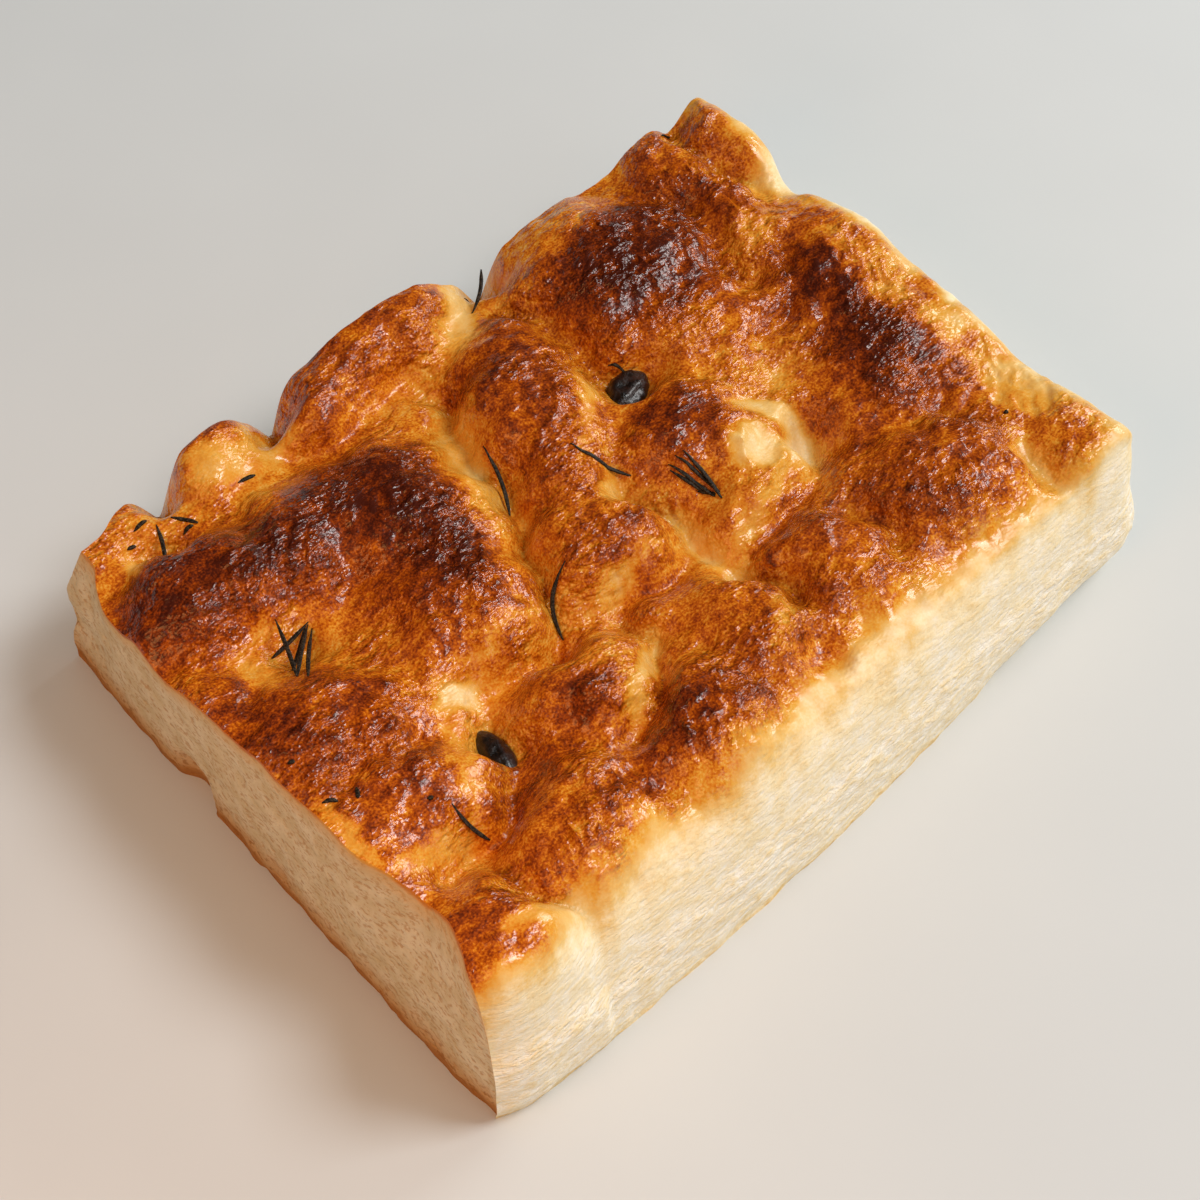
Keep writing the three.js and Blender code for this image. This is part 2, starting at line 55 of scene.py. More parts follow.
# %% [markdown]
# ## The top as a height over the tray
# Risen dough is a set of soft pillows with valleys between them. Each pillow here is a flattened
# dome given by its middle, its half sizes, its turn and its top, and neighbours run together
# with a soft maximum, as wet dough does. Finger dimples and furrows are then pressed in.
# Working with one height function keeps every later step simple: anything that lies on the
# bread asks the function how high it has to be.

# %% Pillows of risen dough
DOUGH_BED = 37
PILLOW_FOOT = 33
PILLOW_BLEND = 3
PILLOW_POWER = 2.5
# Middle x and y, half length, half width, turn in degrees, top.
PILLOWS = {
    "corner bump": (-88, 66.5, 16, 12, 0, 37.5),
    "pale bump": (-57, 71, 13, 13, 0, 43),
    "left crown": (-80, 43, 25, 18, -8, 47),
    "left crown, inner half": (-58, 39.5, 19, 18, 0, 46),
    "middle crown": (-39, 32.5, 24, 26, 20, 46),
    "slope of the middle crown": (-45, 5.5, 27, 23, 20, 44.5),
    "back ridge, left end": (-29, 67.5, 17, 15, 0, 44),
    "back ridge": (-7, 71.5, 27, 16, -4, 46.5),
    "centre": (3, 35.5, 31, 20, 70, 46.5),
    "foot of the centre": (-11, -2.5, 21, 16, 15, 43.5),
    "back crown": (45, 51.5, 31, 30, 0, 46.5),
    "skirt of the back crown": (51, 26.5, 26, 22, 0, 41.5),
    "right end of the back crown": (77, 65.5, 13, 19, 0, 44),
    "skirt of the right end": (77, 45.5, 14, 19, 0, 43),
    "far corner": (97, 67.5, 15, 22, 0, 45.5),
    "right crown": (84, 19.5, 24, 27, 0, 44.5),
    "foot of the right crown": (77, -8.5, 26, 21, 0, 43),
    "small crown": (26, 5.5, 18, 20, 0, 44.5),
    "foot of the small crown": (23, -10.5, 20, 17, 0, 40),
    "front crown": (58, -42, 27, 20, 0, 45),
    "front ridge": (23, -40.5, 18, 20, 0, 43),
    "baked corner": (90, -57, 18, 24, 0, 41.5),
    "right edge, front half": (97, -8, 14, 24, 0, 41),
    "right edge": (98, 24, 12, 22, 0, 42),
    "waist of the centre": (-4, 14, 14, 14, 0, 43.5),
    "front middle": (-3, -42.5, 15, 22, 0, 43),
    "front, left of the middle": (-26, -53.5, 21, 20, 0, 45),
    "lens pillow": (-37, -29.5, 18, 15, 0, 44),
    "front left": (-63, -53.5, 25, 19, 0, 44.5),
    "front corner": (-93, -63, 21, 23, 0, 47.5),
    "side crown": (-86, -2, 28, 20, 0, 46.5),
    "foot of the side crown": (-86, -27, 28, 17, 0, 46),
    "side edge": (-98, -24, 13, 34, 0, 45.5),
    "side edge, upper half": (-99, 15, 13, 20, 0, 43),
}
print(len(PILLOWS), "pillows, tops from", min(p[5] for p in PILLOWS.values()), "mm")

# %% Dimples and furrows
FURROW_SOFTNESS = 0.1
FURROW_POWER = 1.8
# Middle x and y, half length, half width, turn in degrees, depth.
DIMPLES = {
    "needle hollow": (-76, 20, 9, 8, 0, 4.5),
    "side dimple": (-59, 8.5, 9, 12, 0, 3),
    "round the back olive": (26, 25.5, 12, 9, 0, 7),
    "deep pit": (45.5, -13.5, 9.5, 10.5, 20, 10),
    "round the front olive": (-58, -25, 9, 12, 6, 8),
    "front shoulder": (3.5, -55.5, 9, 8, 0, 3),
    "right edge": (102, 45.5, 11, 9, 0, 4),
    "right edge notch": (101, -4.5, 7, 4, 0, 2),
    "behind the left crown": (-80, 58, 11, 8, 0, 5),
    "beside the small crown": (11, -10.5, 10, 14, 0, 2.5),
    "slope towards the deep pit": (53, 3.5, 12, 13, 20, 2),
}
# Half width, depth, and the points along the furrow.
FURROWS = {
    "far cut, left notch": (8, 14, [(-70, 86), (-71, 73)]),
    "far cut, middle notch": (9, 14, [(-37, 88), (-39.5, 71)]),
    "far cut, right notch": (8, 14, [(26, 90), (24, 72)]),
    "behind the centre": (11, 5, [(21, 71.5), (7, 63.5), (-7, 61.5)]),
    "behind the middle crown": (10, 4, [(-7, 61.5), (-26, 56.5), (-43, 59.5)]),
    "middle": (8, 7, [(-9, 51.5), (-14, 31.5), (-17, 13.5), (-25, -1.5), (-35, -13.5)]),
    "left of the small crown": (8, 7, [(4, 5.5), (6, -10.5), (8, -22.5), (11, -42.5)]),
    "cross furrow": (9, 6.5, [(-53, -15.5), (-35, -15.5), (-21, -16.5), (1, -18.5)]),
    "round the lens pillow": (7, 5.5, [(-18, -20.5), (-18, -30.5), (-25, -37.5), (-39, -44.5)]),
    "side furrow": (9, 6, [(-88, -43.5), (-75, -41.5), (-63, -34.5)]),
    "below the small crown": (8, 6, [(43, -20.5), (31, -22.5), (17, -26.5), (9, -31.5)]),
    "front ridge to front crown": (7, 4, [(34, -31.5), (37, -46.5)]),
    "right of the centre": (9, 5.5, [(22, 59.5), (24, 43.5), (26, 31.5)]),
    "beside the far corner": (7, 3, [(88, 73.5), (87, 47.5)]),
    "fold in the back crown": (8, 3, [(71, 61.5), (70, 43.5), (65, 27.5)]),
    "star crease": (7, 4, [(57, 14.5), (69, 17.5), (79, 27.5)]),
    "front corner": (8, 4, [(-80, -46), (-78, -60.5), (-74.5, -74.5)]),
    "baked corner": (7, 3.5, [(71, -28.5), (74, -46.5), (76, -60.5)]),
}
print(len(DIMPLES), "dimples and", len(FURROWS), "furrows")


# %% The height function
def smooth_step(value):
    t = np.clip(value, 0, 1)
    return t * t * (3 - 2 * t)


def smooth_max(a, b, softness):
    return 0.5 * (a + b + np.hypot(a - b, softness))


def ellipse_radius(x, y, shape):
    """0 at the middle of an ellipse and 1 on its rim."""
    cx, cy, half_length, half_width, turn = shape[:5]
    c, s = math.cos(math.radians(turn)), math.sin(math.radians(turn))
    dx, dy = x - cx, y - cy
    return np.hypot((dx * c + dy * s) / half_length, (dy * c - dx * s) / half_width)


def distance_to_line(x, y, line):
    nearest = np.full(np.shape(x), 1e9)
    for (ax, ay), (bx, by) in zip(line, line[1:]):
        ex, ey = bx - ax, by - ay
        t = np.clip(((x - ax) * ex + (y - ay) * ey) / (ex * ex + ey * ey), 0, 1)
        nearest = np.minimum(nearest, np.hypot(x - ax - t * ex, y - ay - t * ey))
    return nearest


def warp(x, y):
    """Slow waves that bend every outline a little, so that no pillow is a true ellipse."""
    return (
        x + 1.3 * np.sin(0.21 * y + 0.385) + 0.8 * np.sin(0.47 * y + 0.13 * x + 1.52),
        y + 1.3 * np.sin(0.19 * x + 2.13) + 0.8 * np.sin(0.43 * x - 0.17 * y + 1.17),
    )


def dough_height(x, y):
    x, y = np.asarray(x, float), np.asarray(y, float)
    wx, wy = warp(x, y)
    height = np.full(wx.shape, float(DOUGH_BED))
    for pillow in PILLOWS.values():
        rise = (pillow[5] - PILLOW_FOOT) * (1 - ellipse_radius(wx, wy, pillow) ** PILLOW_POWER)
        height = smooth_max(height, PILLOW_FOOT + rise, PILLOW_BLEND)
    for dimple in DIMPLES.values():
        q = np.minimum(ellipse_radius(wx, wy, dimple), 1)
        height = height - dimple[5] * (1 - q * q) ** 2
    for half_width, depth, line in FURROWS.values():
        q = np.hypot(distance_to_line(wx, wy, line) / half_width, FURROW_SOFTNESS)
        height = height - depth * np.maximum(1 - q, 0) ** FURROW_POWER
    return height


print("height over the middle of the tray piece:", round(float(dough_height(0, 0)), 1), "mm")

# %% [markdown]
# ## Skin: wrinkles, blisters and creases
# The skin of the dough dries first and then has to shrink as the bread settles, so it wrinkles
# on the pillows, mostly in one direction, and lifts in blisters where gas collects under it.
# Lattice noise gives the wrinkles: stretched along one direction it makes folds, and
# round it makes the small lumps. Large single blisters and creases are placed one by one.


# %% Seeded noise
def lattice_noise(x, y, cell, seed):
    """Smooth noise from about -1 to 1, with bumps about one cell across."""
    turns = np.random.default_rng(seed).uniform(0, 2 * np.pi, (251, 251))
    lean_x, lean_y = np.cos(turns), np.sin(turns)
    u, v = np.asarray(x) / cell + 1000.31, np.asarray(y) / cell + 1000.73
    i, j = np.floor(u).astype(int), np.floor(v).astype(int)
    fu, fv = u - i, v - j

    def corner(di, dj):
        a, b = (i + di) % 251, (j + dj) % 251
        return lean_x[a, b] * (fu - di) + lean_y[a, b] * (fv - dj)

    su = fu**3 * (fu * (6 * fu - 15) + 10)
    sv = fv**3 * (fv * (6 * fv - 15) + 10)
    near = corner(0, 0) * (1 - su) + corner(1, 0) * su
    far = corner(0, 1) * (1 - su) + corner(1, 1) * su
    return 1.5 * (near * (1 - sv) + far * sv)


def folds(x, y, cell, stretch, direction, seed):
    """Noise drawn out along one direction, sharpened so that its crests are narrow folds."""
    c, s = math.cos(math.radians(direction)), math.sin(math.radians(direction))
    along, across = (x * c + y * s) / stretch, y * c - x * s
    return 1 - 2 * np.abs(lattice_noise(along, across, cell, seed))


print("noise sample:", np.round(lattice_noise(np.arange(4) * 1.7, np.zeros(4), 3.0, 5), 2))

# %% Wrinkled places
# Middle x and y, half length, half width, turn, direction of the folds, height of the folds.
WRINKLES = {
    "back crown": (48, 46, 24, 22, 0, 68, 0.55),
    "right end of the back crown": (78, 56, 12, 20, 0, 78, 0.5),
    "middle crown": (-38, 22, 16, 26, 0, 60, 0.6),
    "foot of the middle crown": (-45, -2, 22, 12, 0, 58, 0.5),
    "left crown": (-70, 36, 20, 12, 0, 50, 0.45),
    "front left": (-55, -54, 26, 14, 0, 62, 0.6),
    "left of the middle": (-24, -54, 18, 14, 0, 62, 0.6),
    "front middle": (2, -46, 16, 16, 0, 55, 0.45),
    "front crown": (56, -48, 22, 12, 0, 60, 0.5),
    "right crown": (80, 10, 14, 24, 0, 62, 0.5),
    "side crown": (-80, -18, 16, 18, 0, 55, 0.4),
    "foot of the centre": (-8, -8, 18, 12, 0, 55, 0.45),
    "centre": (4, 30, 14, 24, 0, 58, 0.3),
    "baked corner": (86, -36, 12, 16, 0, 50, 0.4),
}


def wrinkle_height(x, y):
    total = np.zeros(np.shape(x))
    for seed, place in enumerate(WRINKLES.values(), start=20):
        reach = np.exp(-1.6 * ellipse_radius(x, y, place) ** 2)
        direction, fold_height = place[5:]
        wide = folds(x, y, 5.0, 2.6, direction, seed)
        narrow = folds(x, y, 2.4, 2.6, direction + 8, seed + 50)
        fine = folds(x, y, 1.3, 2.0, direction - 10, seed + 90)
        total += reach * fold_height * (1.2 * wide + 1.5 * narrow + 0.6 * fine)
    return total


print("wrinkled places:", len(WRINKLES))

# %% Small lumps
LUMPS = [(9.0, 0.45), (4.2, 0.3), (2.1, 0.16)]  # size across and height, mm


def lump_height(x, y):
    return sum(
        height * lattice_noise(x, y, size, seed)
        for seed, (size, height) in enumerate(LUMPS, start=80)
    )


print("lumps:", LUMPS)

# %% Single blisters and creases
# Blisters: middle x and y, half length, half width, turn, height. A minus sinks.
BLISTERS = {
    "lens": (-42.5, -33.5, 6.2, 3.2, 38, 1.6),
    "torn skin": (30, -9.5, 7, 8, 20, 1.1),
    "torn skin, fallen middle": (30.5, -11.5, 5, 4.5, 10, -1.6),
    "torn skin, left flap": (24.5, -7, 3, 3.5, 0, 0.8),
    "torn skin, right flap": (37, -7.5, 3.2, 4.2, 30, 0.9),
    "smooth peak on the left crown": (-71, 37, 4, 3, 45, 0.9),
    "smooth peak on the middle crown": (-37, 26, 6, 2.6, 30, 0.9),
    "peak by the star crease": (71.5, 22, 4.5, 3, 60, 1.2),
    "curl at the baked corner": (75, -29, 5.5, 3, 20, 1.2),
    "lip of the front crown": (66, -31, 6, 3.5, 30, 0.8),
    "side crown blister": (-80, -9, 4.5, 2, 55, 0.8),
}
# Creases: half width, depth and the line. A minus depth is a sharp raised fold.
CREASES = {
    "along the lens": (1.3, -0.7, [(-45.5, -28.5), (-42, -30.2), (-39, -33.5), (-38, -38)]),
    "under the lens": (1.6, 0.9, [(-46.5, -30.5), (-46, -34.5), (-43, -38.5)]),
    "torn edge 1": (1.0, -0.8, [(23, -4), (27, -3.5), (28, -8), (26, -12)]),
    "torn edge 2": (1.0, -0.8, [(28, -8), (31.5, -4.5), (36, -5)]),
    "torn edge 3": (1.0, -0.7, [(24, -16), (29, -17), (34.5, -15), (38, -10.5), (36, -5)]),
    "star, upper": (1.3, -0.9, [(60, 20.5), (66, 19.5), (72, 22)]),
    "star, lower": (1.2, -0.8, [(72, 22), (70.5, 16), (68, 9.5)]),
    "fold of the back crown": (1.6, 1.0, [(70, 58), (72.5, 50), (72, 41), (67, 32), (61, 25)]),
    "second fold": (1.4, 0.7, [(64, 60), (67, 50), (65, 40), (60, 33)]),
    "third fold": (1.4, 0.6, [(77, 60), (79, 50), (78, 40), (73, 31)]),
    "below the small crown": (1.2, -0.6, [(22, -40), (26, -33), (32, -27), (39, -21)]),
    "arc on the baked corner": (1.3, -0.7, [(60, -40), (63, -33), (70, -28.5)]),
    "middle crown fold": (1.5, -0.8, [(-40, 23), (-34, 25.5), (-31, 31)]),
    "right slope of the middle crown": (1.6, -0.6, [(-18, 33), (-24, 22), (-31, 12), (-37, 3)]),
    "curl on the right crown": (1.4, 0.8, [(66, 26), (73, 28), (80, 30)]),
}


def blister_height(x, y):
    total = np.zeros(np.shape(x))
    for blister in BLISTERS.values():
        q = np.minimum(ellipse_radius(x, y, blister), 1)
        total += blister[5] * (1 - q * q) ** 1.5
    for half_width, depth, line in CREASES.values():
        q = np.minimum(distance_to_line(x, y, line) / (2 * half_width), 1)
        total -= depth * (1 - q) ** 2
    return total


def crust_height(x, y):
    """The finished top: dough, wrinkles, lumps, blisters and creases."""
    height = dough_height(x, y)
    crest = smooth_step((height - 32) / 8)
    skin = wrinkle_height(x, y) * crest + lump_height(x, y) * (0.35 + 0.65 * crest)
    return height + skin + blister_height(x, y)


print("blisters:", len(BLISTERS), "creases:", len(CREASES))

# %% [markdown]
# ## The outline and the mesh
# The base outline has four sides. A Coons patch stretches a grid between them, so the rows of
# the mesh follow the crust on every side, and the rows crowd together at the baked sides, where
# the wall turns into the top. The walls are rings that run from the rim down to the tray.
# A grid is easier to control here than a sculpted or voxel mesh, because each vertex
# knows its place on the bread and can carry how browned it is.

# %% Sides of the piece
FRONT_SIDE = [
    (-104.8, -73.1), (-94, -76.2), (-61, -76.6), (-26, -76.0), (9, -74.1),
    (44, -72.2), (74, -70.9), (90.5, -70.2), (97.6, -68.3),
]
RIGHT_SIDE = [
    (97.6, -68.3), (100.7, -63), (101.5, -52), (101.3, -36), (101.8, -15),
    (103.9, 5), (104.8, 22), (104.4, 40), (105.2, 58), (104.4, 76),
]
LEFT_SIDE = [
    (-104.8, -73.1), (-105.1, -58), (-104.4, -33), (-103.2, -5),
    (-101.9, 20), (-100.6, 48), (-98.6, 74.5),
]
FAR_SIDE = [(-98.6, 74.5), (-40, 75.2), (40, 75.6), (104.4, 76)]


def spread_points(corners, shares):
    """Points at the given shares of the length of a smooth curve through the corners."""
    p = np.array([corners[0], *corners, corners[-1]], float)
    t = np.linspace(0, 1, 60, endpoint=False)[:, None]
    runs = []
    for p0, p1, p2, p3 in zip(p, p[1:], p[2:], p[3:]):
        v1, v2 = (p2 - p0) / 2, (p3 - p1) / 2
        cubic, square = 2 * p1 - 2 * p2 + v1 + v2, -3 * p1 + 3 * p2 - 2 * v1 - v2
        runs.append(cubic * t**3 + square * t**2 + v1 * t + p1)
    curve = np.concatenate([*runs, p[-1:]])
    length = np.concatenate([[0], np.cumsum(np.hypot(*np.diff(curve, axis=0).T))])
    at = np.asarray(shares) * length[-1]
    return np.stack([np.interp(at, length, curve[:, axis]) for axis in (0, 1)], axis=-1)


print("front side:", np.round(spread_points(FRONT_SIDE, [0, 0.5, 1]), 1).tolist())

# %% Rows of the grid
# The baked sides round over within the shoulder's width, from a share of the height upward.
SHOULDER_WIDTH = 12
SHOULDER_POWER = 3
WALL_SHARE = 0.6
WALL_DISTANCE = SHOULDER_WIDTH * (1 - (1 - WALL_SHARE**SHOULDER_POWER) ** (1 / SHOULDER_POWER))
SHOULDER_SHARE = 0.12
CELLS_X, CELLS_Y, WALL_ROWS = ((296, 214, 32))
LENGTH = RIGHT_SIDE[-1][0] - LEFT_SIDE[-1][0]
DEPTH = LEFT_SIDE[-1][1] - LEFT_SIDE[0][1]


def graded_shares(cells, length):
    """Shares of a length, close together near the baked side at 0."""
    near = round(cells * SHOULDER_SHARE)
    turn = SHOULDER_WIDTH * (1 - np.cos(np.linspace(0, np.pi / 2, near + 1)))
    rest = np.linspace(SHOULDER_WIDTH, length, cells - near + 1)[1:]
    return np.concatenate([turn, rest]) / length


def shoulder(distance):
    """Share of the full height at a distance in from a baked side."""
    s = np.minimum(distance / SHOULDER_WIDTH, 1)
    return (1 - (1 - s) ** SHOULDER_POWER) ** (1 / SHOULDER_POWER)


def bump(value, middle, reach):
    """1 at the middle and 0 beyond its reach."""
    q = np.minimum(np.abs((value - middle) / reach), 1)
    return (1 - q * q) ** 2


def lean_in(points):
    """All four walls lean in as they rise, the left one most where the knife dragged."""
    x, y = points[..., 0], points[..., 1]
    right, front = smooth_step((x - 88) / 10), smooth_step((-60 - y) / 6)
    left, far = smooth_step((-80 - x) / 16), smooth_step((-75 - x) / 20) * smooth_step((y - 60) / 12)
    set_back = 0.8 + 2.2 * bump(y, -20, 45) + 6.5 * bump(y, -50, 23) + 4.6 * smooth_step((y - 52) / 16)
    front_lean = 1.2 + 2.3 * smooth_step((x + 104) / 44)
    return np.stack([x - 0.8 * right + set_back * left, y + front_lean * front - 4.5 * far], axis=-1)


def tuck_under(points):
    """The tray's rounded lower corner, deepest at the baked corner."""
    x, y = points[..., 0], points[..., 1]
    right = smooth_step((x - 88) / 10)
    front = smooth_step((-60 - y) / 6) * smooth_step((x - 20) / 70)
    return np.stack([-5 * right, 5 * front], axis=-1)


along_x = 1 - graded_shares(CELLS_X, LENGTH)[::-1]
along_y = graded_shares(CELLS_Y, DEPTH)
print("grid:", CELLS_X, "x", CELLS_Y, "cells, with", WALL_ROWS, "rows down the walls")

# %% Top grid
base = {
    "front": spread_points(FRONT_SIDE, along_x),
    "right": spread_points(RIGHT_SIDE, along_y),
    "left": spread_points(LEFT_SIDE, along_y),
    "far": spread_points(FAR_SIDE, along_x),
}
rim = {side: lean_in(points) for side, points in base.items()}


def stretch_between(side, u, v):
    """Coons patch: the grid point that each pair of shares has between the four sides."""
    u, v = u[:, None, None], v[None, :, None]
    across = (1 - v) * side["front"][:, None] + v * side["far"][:, None]
    along = (1 - u) * side["left"][None] + u * side["right"][None]
    corners = (
        (1 - u) * (1 - v) * side["front"][0] + u * (1 - v) * side["front"][-1]
        + (1 - u) * v * side["far"][0] + u * v * side["far"][-1]
    )
    return across + along - corners


top_plan = stretch_between(rim, along_x, along_y)
top_x, top_y = top_plan[..., 0], top_plan[..., 1]
front_roundness = 7 + 9 * smooth_step((top_x + 104) / 45)
from_front = along_y[None, :] * DEPTH * SHOULDER_WIDTH / front_roundness
from_right = (1 - along_x[:, None]) * LENGTH + 0 * top_x
from_sides = ((from_front + WALL_DISTANCE) ** -4 + (from_right + WALL_DISTANCE) ** -4) ** -0.25
top_z = crust_height(top_x, top_y) * shoulder(from_sides)
print("top heights:", round(top_z.min(), 1), "to", round(top_z.max(), 1), "mm")

# %% Walls
def ring_of(side_front, side_right, side_far, side_left):
    """The four sides run together, anticlockwise seen from above."""
    return np.concatenate([side_front[:-1], side_right[:-1], side_far[::-1][:-1], side_left[::-1][:-1]])


def edge_of(grid):
    return ring_of(grid[:, 0], grid[-1, :], grid[:, -1], grid[0, :])


rim_ring = np.stack([edge_of(top_x), edge_of(top_y), edge_of(top_z)], axis=-1)
base_ring = ring_of(base["front"], base["right"], base["far"], base["left"])
on_front, on_right, on_far, on_left = (
    ring_of(*[np.full(len(base[name]), name == side) for name in ("front", "right", "far", "left")])
    for side in ("front", "right", "far", "left")
)
is_cut = on_far | on_left
forward = np.roll(base_ring, -1, axis=0) - np.roll(base_ring, 1, axis=0)
outward = np.stack([forward[:, 1], -forward[:, 0]], axis=-1)
outward /= np.hypot(*outward.T)[:, None]
run = np.concatenate([[0], np.cumsum(np.hypot(*np.diff(base_ring, axis=0).T))])
print("round the base:", round(run[-1]), "mm, cut:", round(100 * is_cut.mean()), "% of the ring")


# %% How the walls stand proud or set back
RIM_CALM = 0.35  # share of the height under the rim over which the offset fades out
TUCK_SHARE = 0.42  # share of the height that the tray's rounded lower corner takes


def wall_offset(t, z):
    """Millimetres that each wall point moves outward, for a row at share t of the height.

    The left cut has a notch at its foot and a fuller far corner, and the front side a lobe by
    the cut corner and a faint level crease.
    """
    x, y = base_ring.T
    wander = 0.55 * lattice_noise(run, z, 15, 90) + 0.3 * lattice_noise(run, 1.4 * z, 5, 91)
    pores = np.maximum(lattice_noise(0.6 * run, z, 2.2, 92) - 0.35, 0)
    fibres = folds(run, z, 3.2, 5, 4, 93)
    cut = wander - 0.9 * pores - 0.4
    notch = -2.8 * smooth_step((y - 20) / 2.5) * smooth_step((35 - y) / 6) * smooth_step((14 - z) / 5)
    corner = 0.8 * bump(y, 72, 16) * bump(z, 27, 9) - 1.8 * bump(y, 68, 14) * bump(z, 15, 8)
    left = cut + notch + corner
    lobe = 1.3 * smooth_step((-75 - x) / 3) - 2.2 * bump(x, -68, 9) * bump(z, 27, 16)
    crease = -0.2 * bump(z - 0.04 * (x + 90), 21, 2.5) * smooth_step((x + 104) / 10)
    baked = 0.8 * wander + 0.25 * fibres + 0.5 * bump(t, 0.55, 0.5)
    front = baked + lobe * smooth_step(t / 0.2) + crease * smooth_step((20 - x) / 60)
    offset = np.select([on_left, on_far, on_front], [left, cut, front], baked)
    return offset * smooth_step((1 - t) / RIM_CALM)


rows = []
for row in range(WALL_ROWS - 1, -1, -1):
    t = row / WALL_ROWS
    height = rim_ring[:, 2] * t
    tuck = tuck_under(base_ring) * max(1 - t / TUCK_SHARE, 0) ** 2
    rise = np.where(on_left, t**2.5, t**1.5)[:, None]
    plan = base_ring + (rim_ring[:, :2] - base_ring) * rise + tuck
    plan = plan + outward * wall_offset(t, height)[:, None]
    rows.append(np.column_stack([plan, height]))
print("wall rows:", len(rows), "of", len(base_ring), "points")

# %% [markdown]
# ## How browned each place is, with some painted highlight
# Colour follows the oven: crests close to the heat turn mahogany, slopes stay orange, and hollows,
# torn skin and the sides against the tray stay yellow or cream. Pale strips on slopes and rims that
# face the light from the right are partly painted highlight. Rather than one rule for all, each place
# gets a level from 0, cream, to 1, mahogany, and the levels are blended by distance. A rule by height
# fills in between the places.

# %% Places and their levels
# Middle x and y, half length, half width, turn in degrees, level.
BROWNED = {
    "left crown": (-88, 43, 14.6, 10.1, 0, 0.94),
    "left crown, middle": (-71, 45, 11.2, 10.1, 0, 0.83),
    "left crown, front edge": (-80, 32, 20.2, 3.9, 0, 0.7),
    "left crown, back": (-72, 56, 13.4, 5.6, 0, 0.6),
    "left crown, inner half": (-61, 39, 9, 10.1, 0, 0.9),
    "middle crown": (-42, 38, 13.4, 10.1, 0, 0.95),
    "middle crown, front": (-38, 18, 13.4, 13.4, 0, 0.88),
    "middle crown, inner slope": (-52, 18, 6.7, 11.2, 0, 0.72),
    "foot of the middle crown": (-45, -2, 17.9, 6.7, 0, 0.61),
    "back ridge": (-24, 70, 14.6, 5, 0, 0.72),
    "back ridge, right end": (0, 72, 9, 3.9, 0, 0.65),
    "centre": (2, 44, 10.1, 10.1, 0, 0.76),
    "centre, front": (-1, 29, 9, 11.2, 0, 0.69),
    "centre, dark fold": (17, 57, 4.5, 4.5, 0, 0.8),
    "foot of the centre": (-10, 4, 7.8, 9, 0, 0.65),
    "back crown, left": (42, 48, 12.3, 9, 0, 0.94),
    "back crown": (56, 55, 14.6, 11.2, 0, 0.9),
    "back crown, back": (46, 67, 15.7, 5.6, 0, 0.45),
    "back crown, front": (48, 36, 16.8, 5.6, 0, 0.84),
    "right end of the back crown": (74, 55, 4.5, 12.3, 0, 0.68),
    "right end, middle": (82, 63, 5.6, 9, 0, 0.54),
    "far corner": (89, 66, 5, 9, 0, 0.62),
    "right crown": (77, 14, 5.6, 15.7, 0, 0.88),
    "foot of the right crown": (70, -8, 10, 11, 20, 0.98),
    "foot, front": (70, -21, 8.5, 5.5, 0, 0.78),
    "curl at the baked corner": (78, -27, 5.6, 3.4, 0, 0.67),
    "small crown": (23, 8, 9, 6.7, 0, 0.9),
    "side crown": (-93, 6, 6.7, 13.6, 0, 0.85),
    "side crown, right": (-80, -2, 9, 9, 0, 0.74),
    "foot of the side crown": (-82, -17, 10.1, 7.8, 0, 0.66),
    "front corner": (-98, -58, 4.5, 9, 0, 0.69),
    "front left, back": (-60, -38, 13.4, 5.6, 20, 0.77),
    "front left": (-62, -50, 15.7, 7.8, 0, 0.55),
    "left of the middle, crest": (-28, -48, 11.2, 6.7, 0, 0.77),
    "left of the middle": (-48, -56, 9, 5.6, 0, 0.67),
    "left of the middle, right": (-18, -55, 9, 6.7, 0, 0.6),
    "front middle": (-11, -39, 9, 9, 0, 0.58),
    "front crown, left": (43, -37, 5.6, 9, 0, 0.75),
    "front crown, back": (55, -33, 6.7, 3.9, 0, 0.78),
    "front crown": (57, -46, 11.2, 6.7, 0, 0.64),
    "front crown, right": (70, -37, 5.6, 4.5, 0, 0.75),
    "front ridge": (28, -32, 6.7, 4.6, 30, 0.74),
    "hollow by the front ridge": (13, -45, 3.9, 4.5, 0, 0.69),
}
print(len(BROWNED), "browned places")
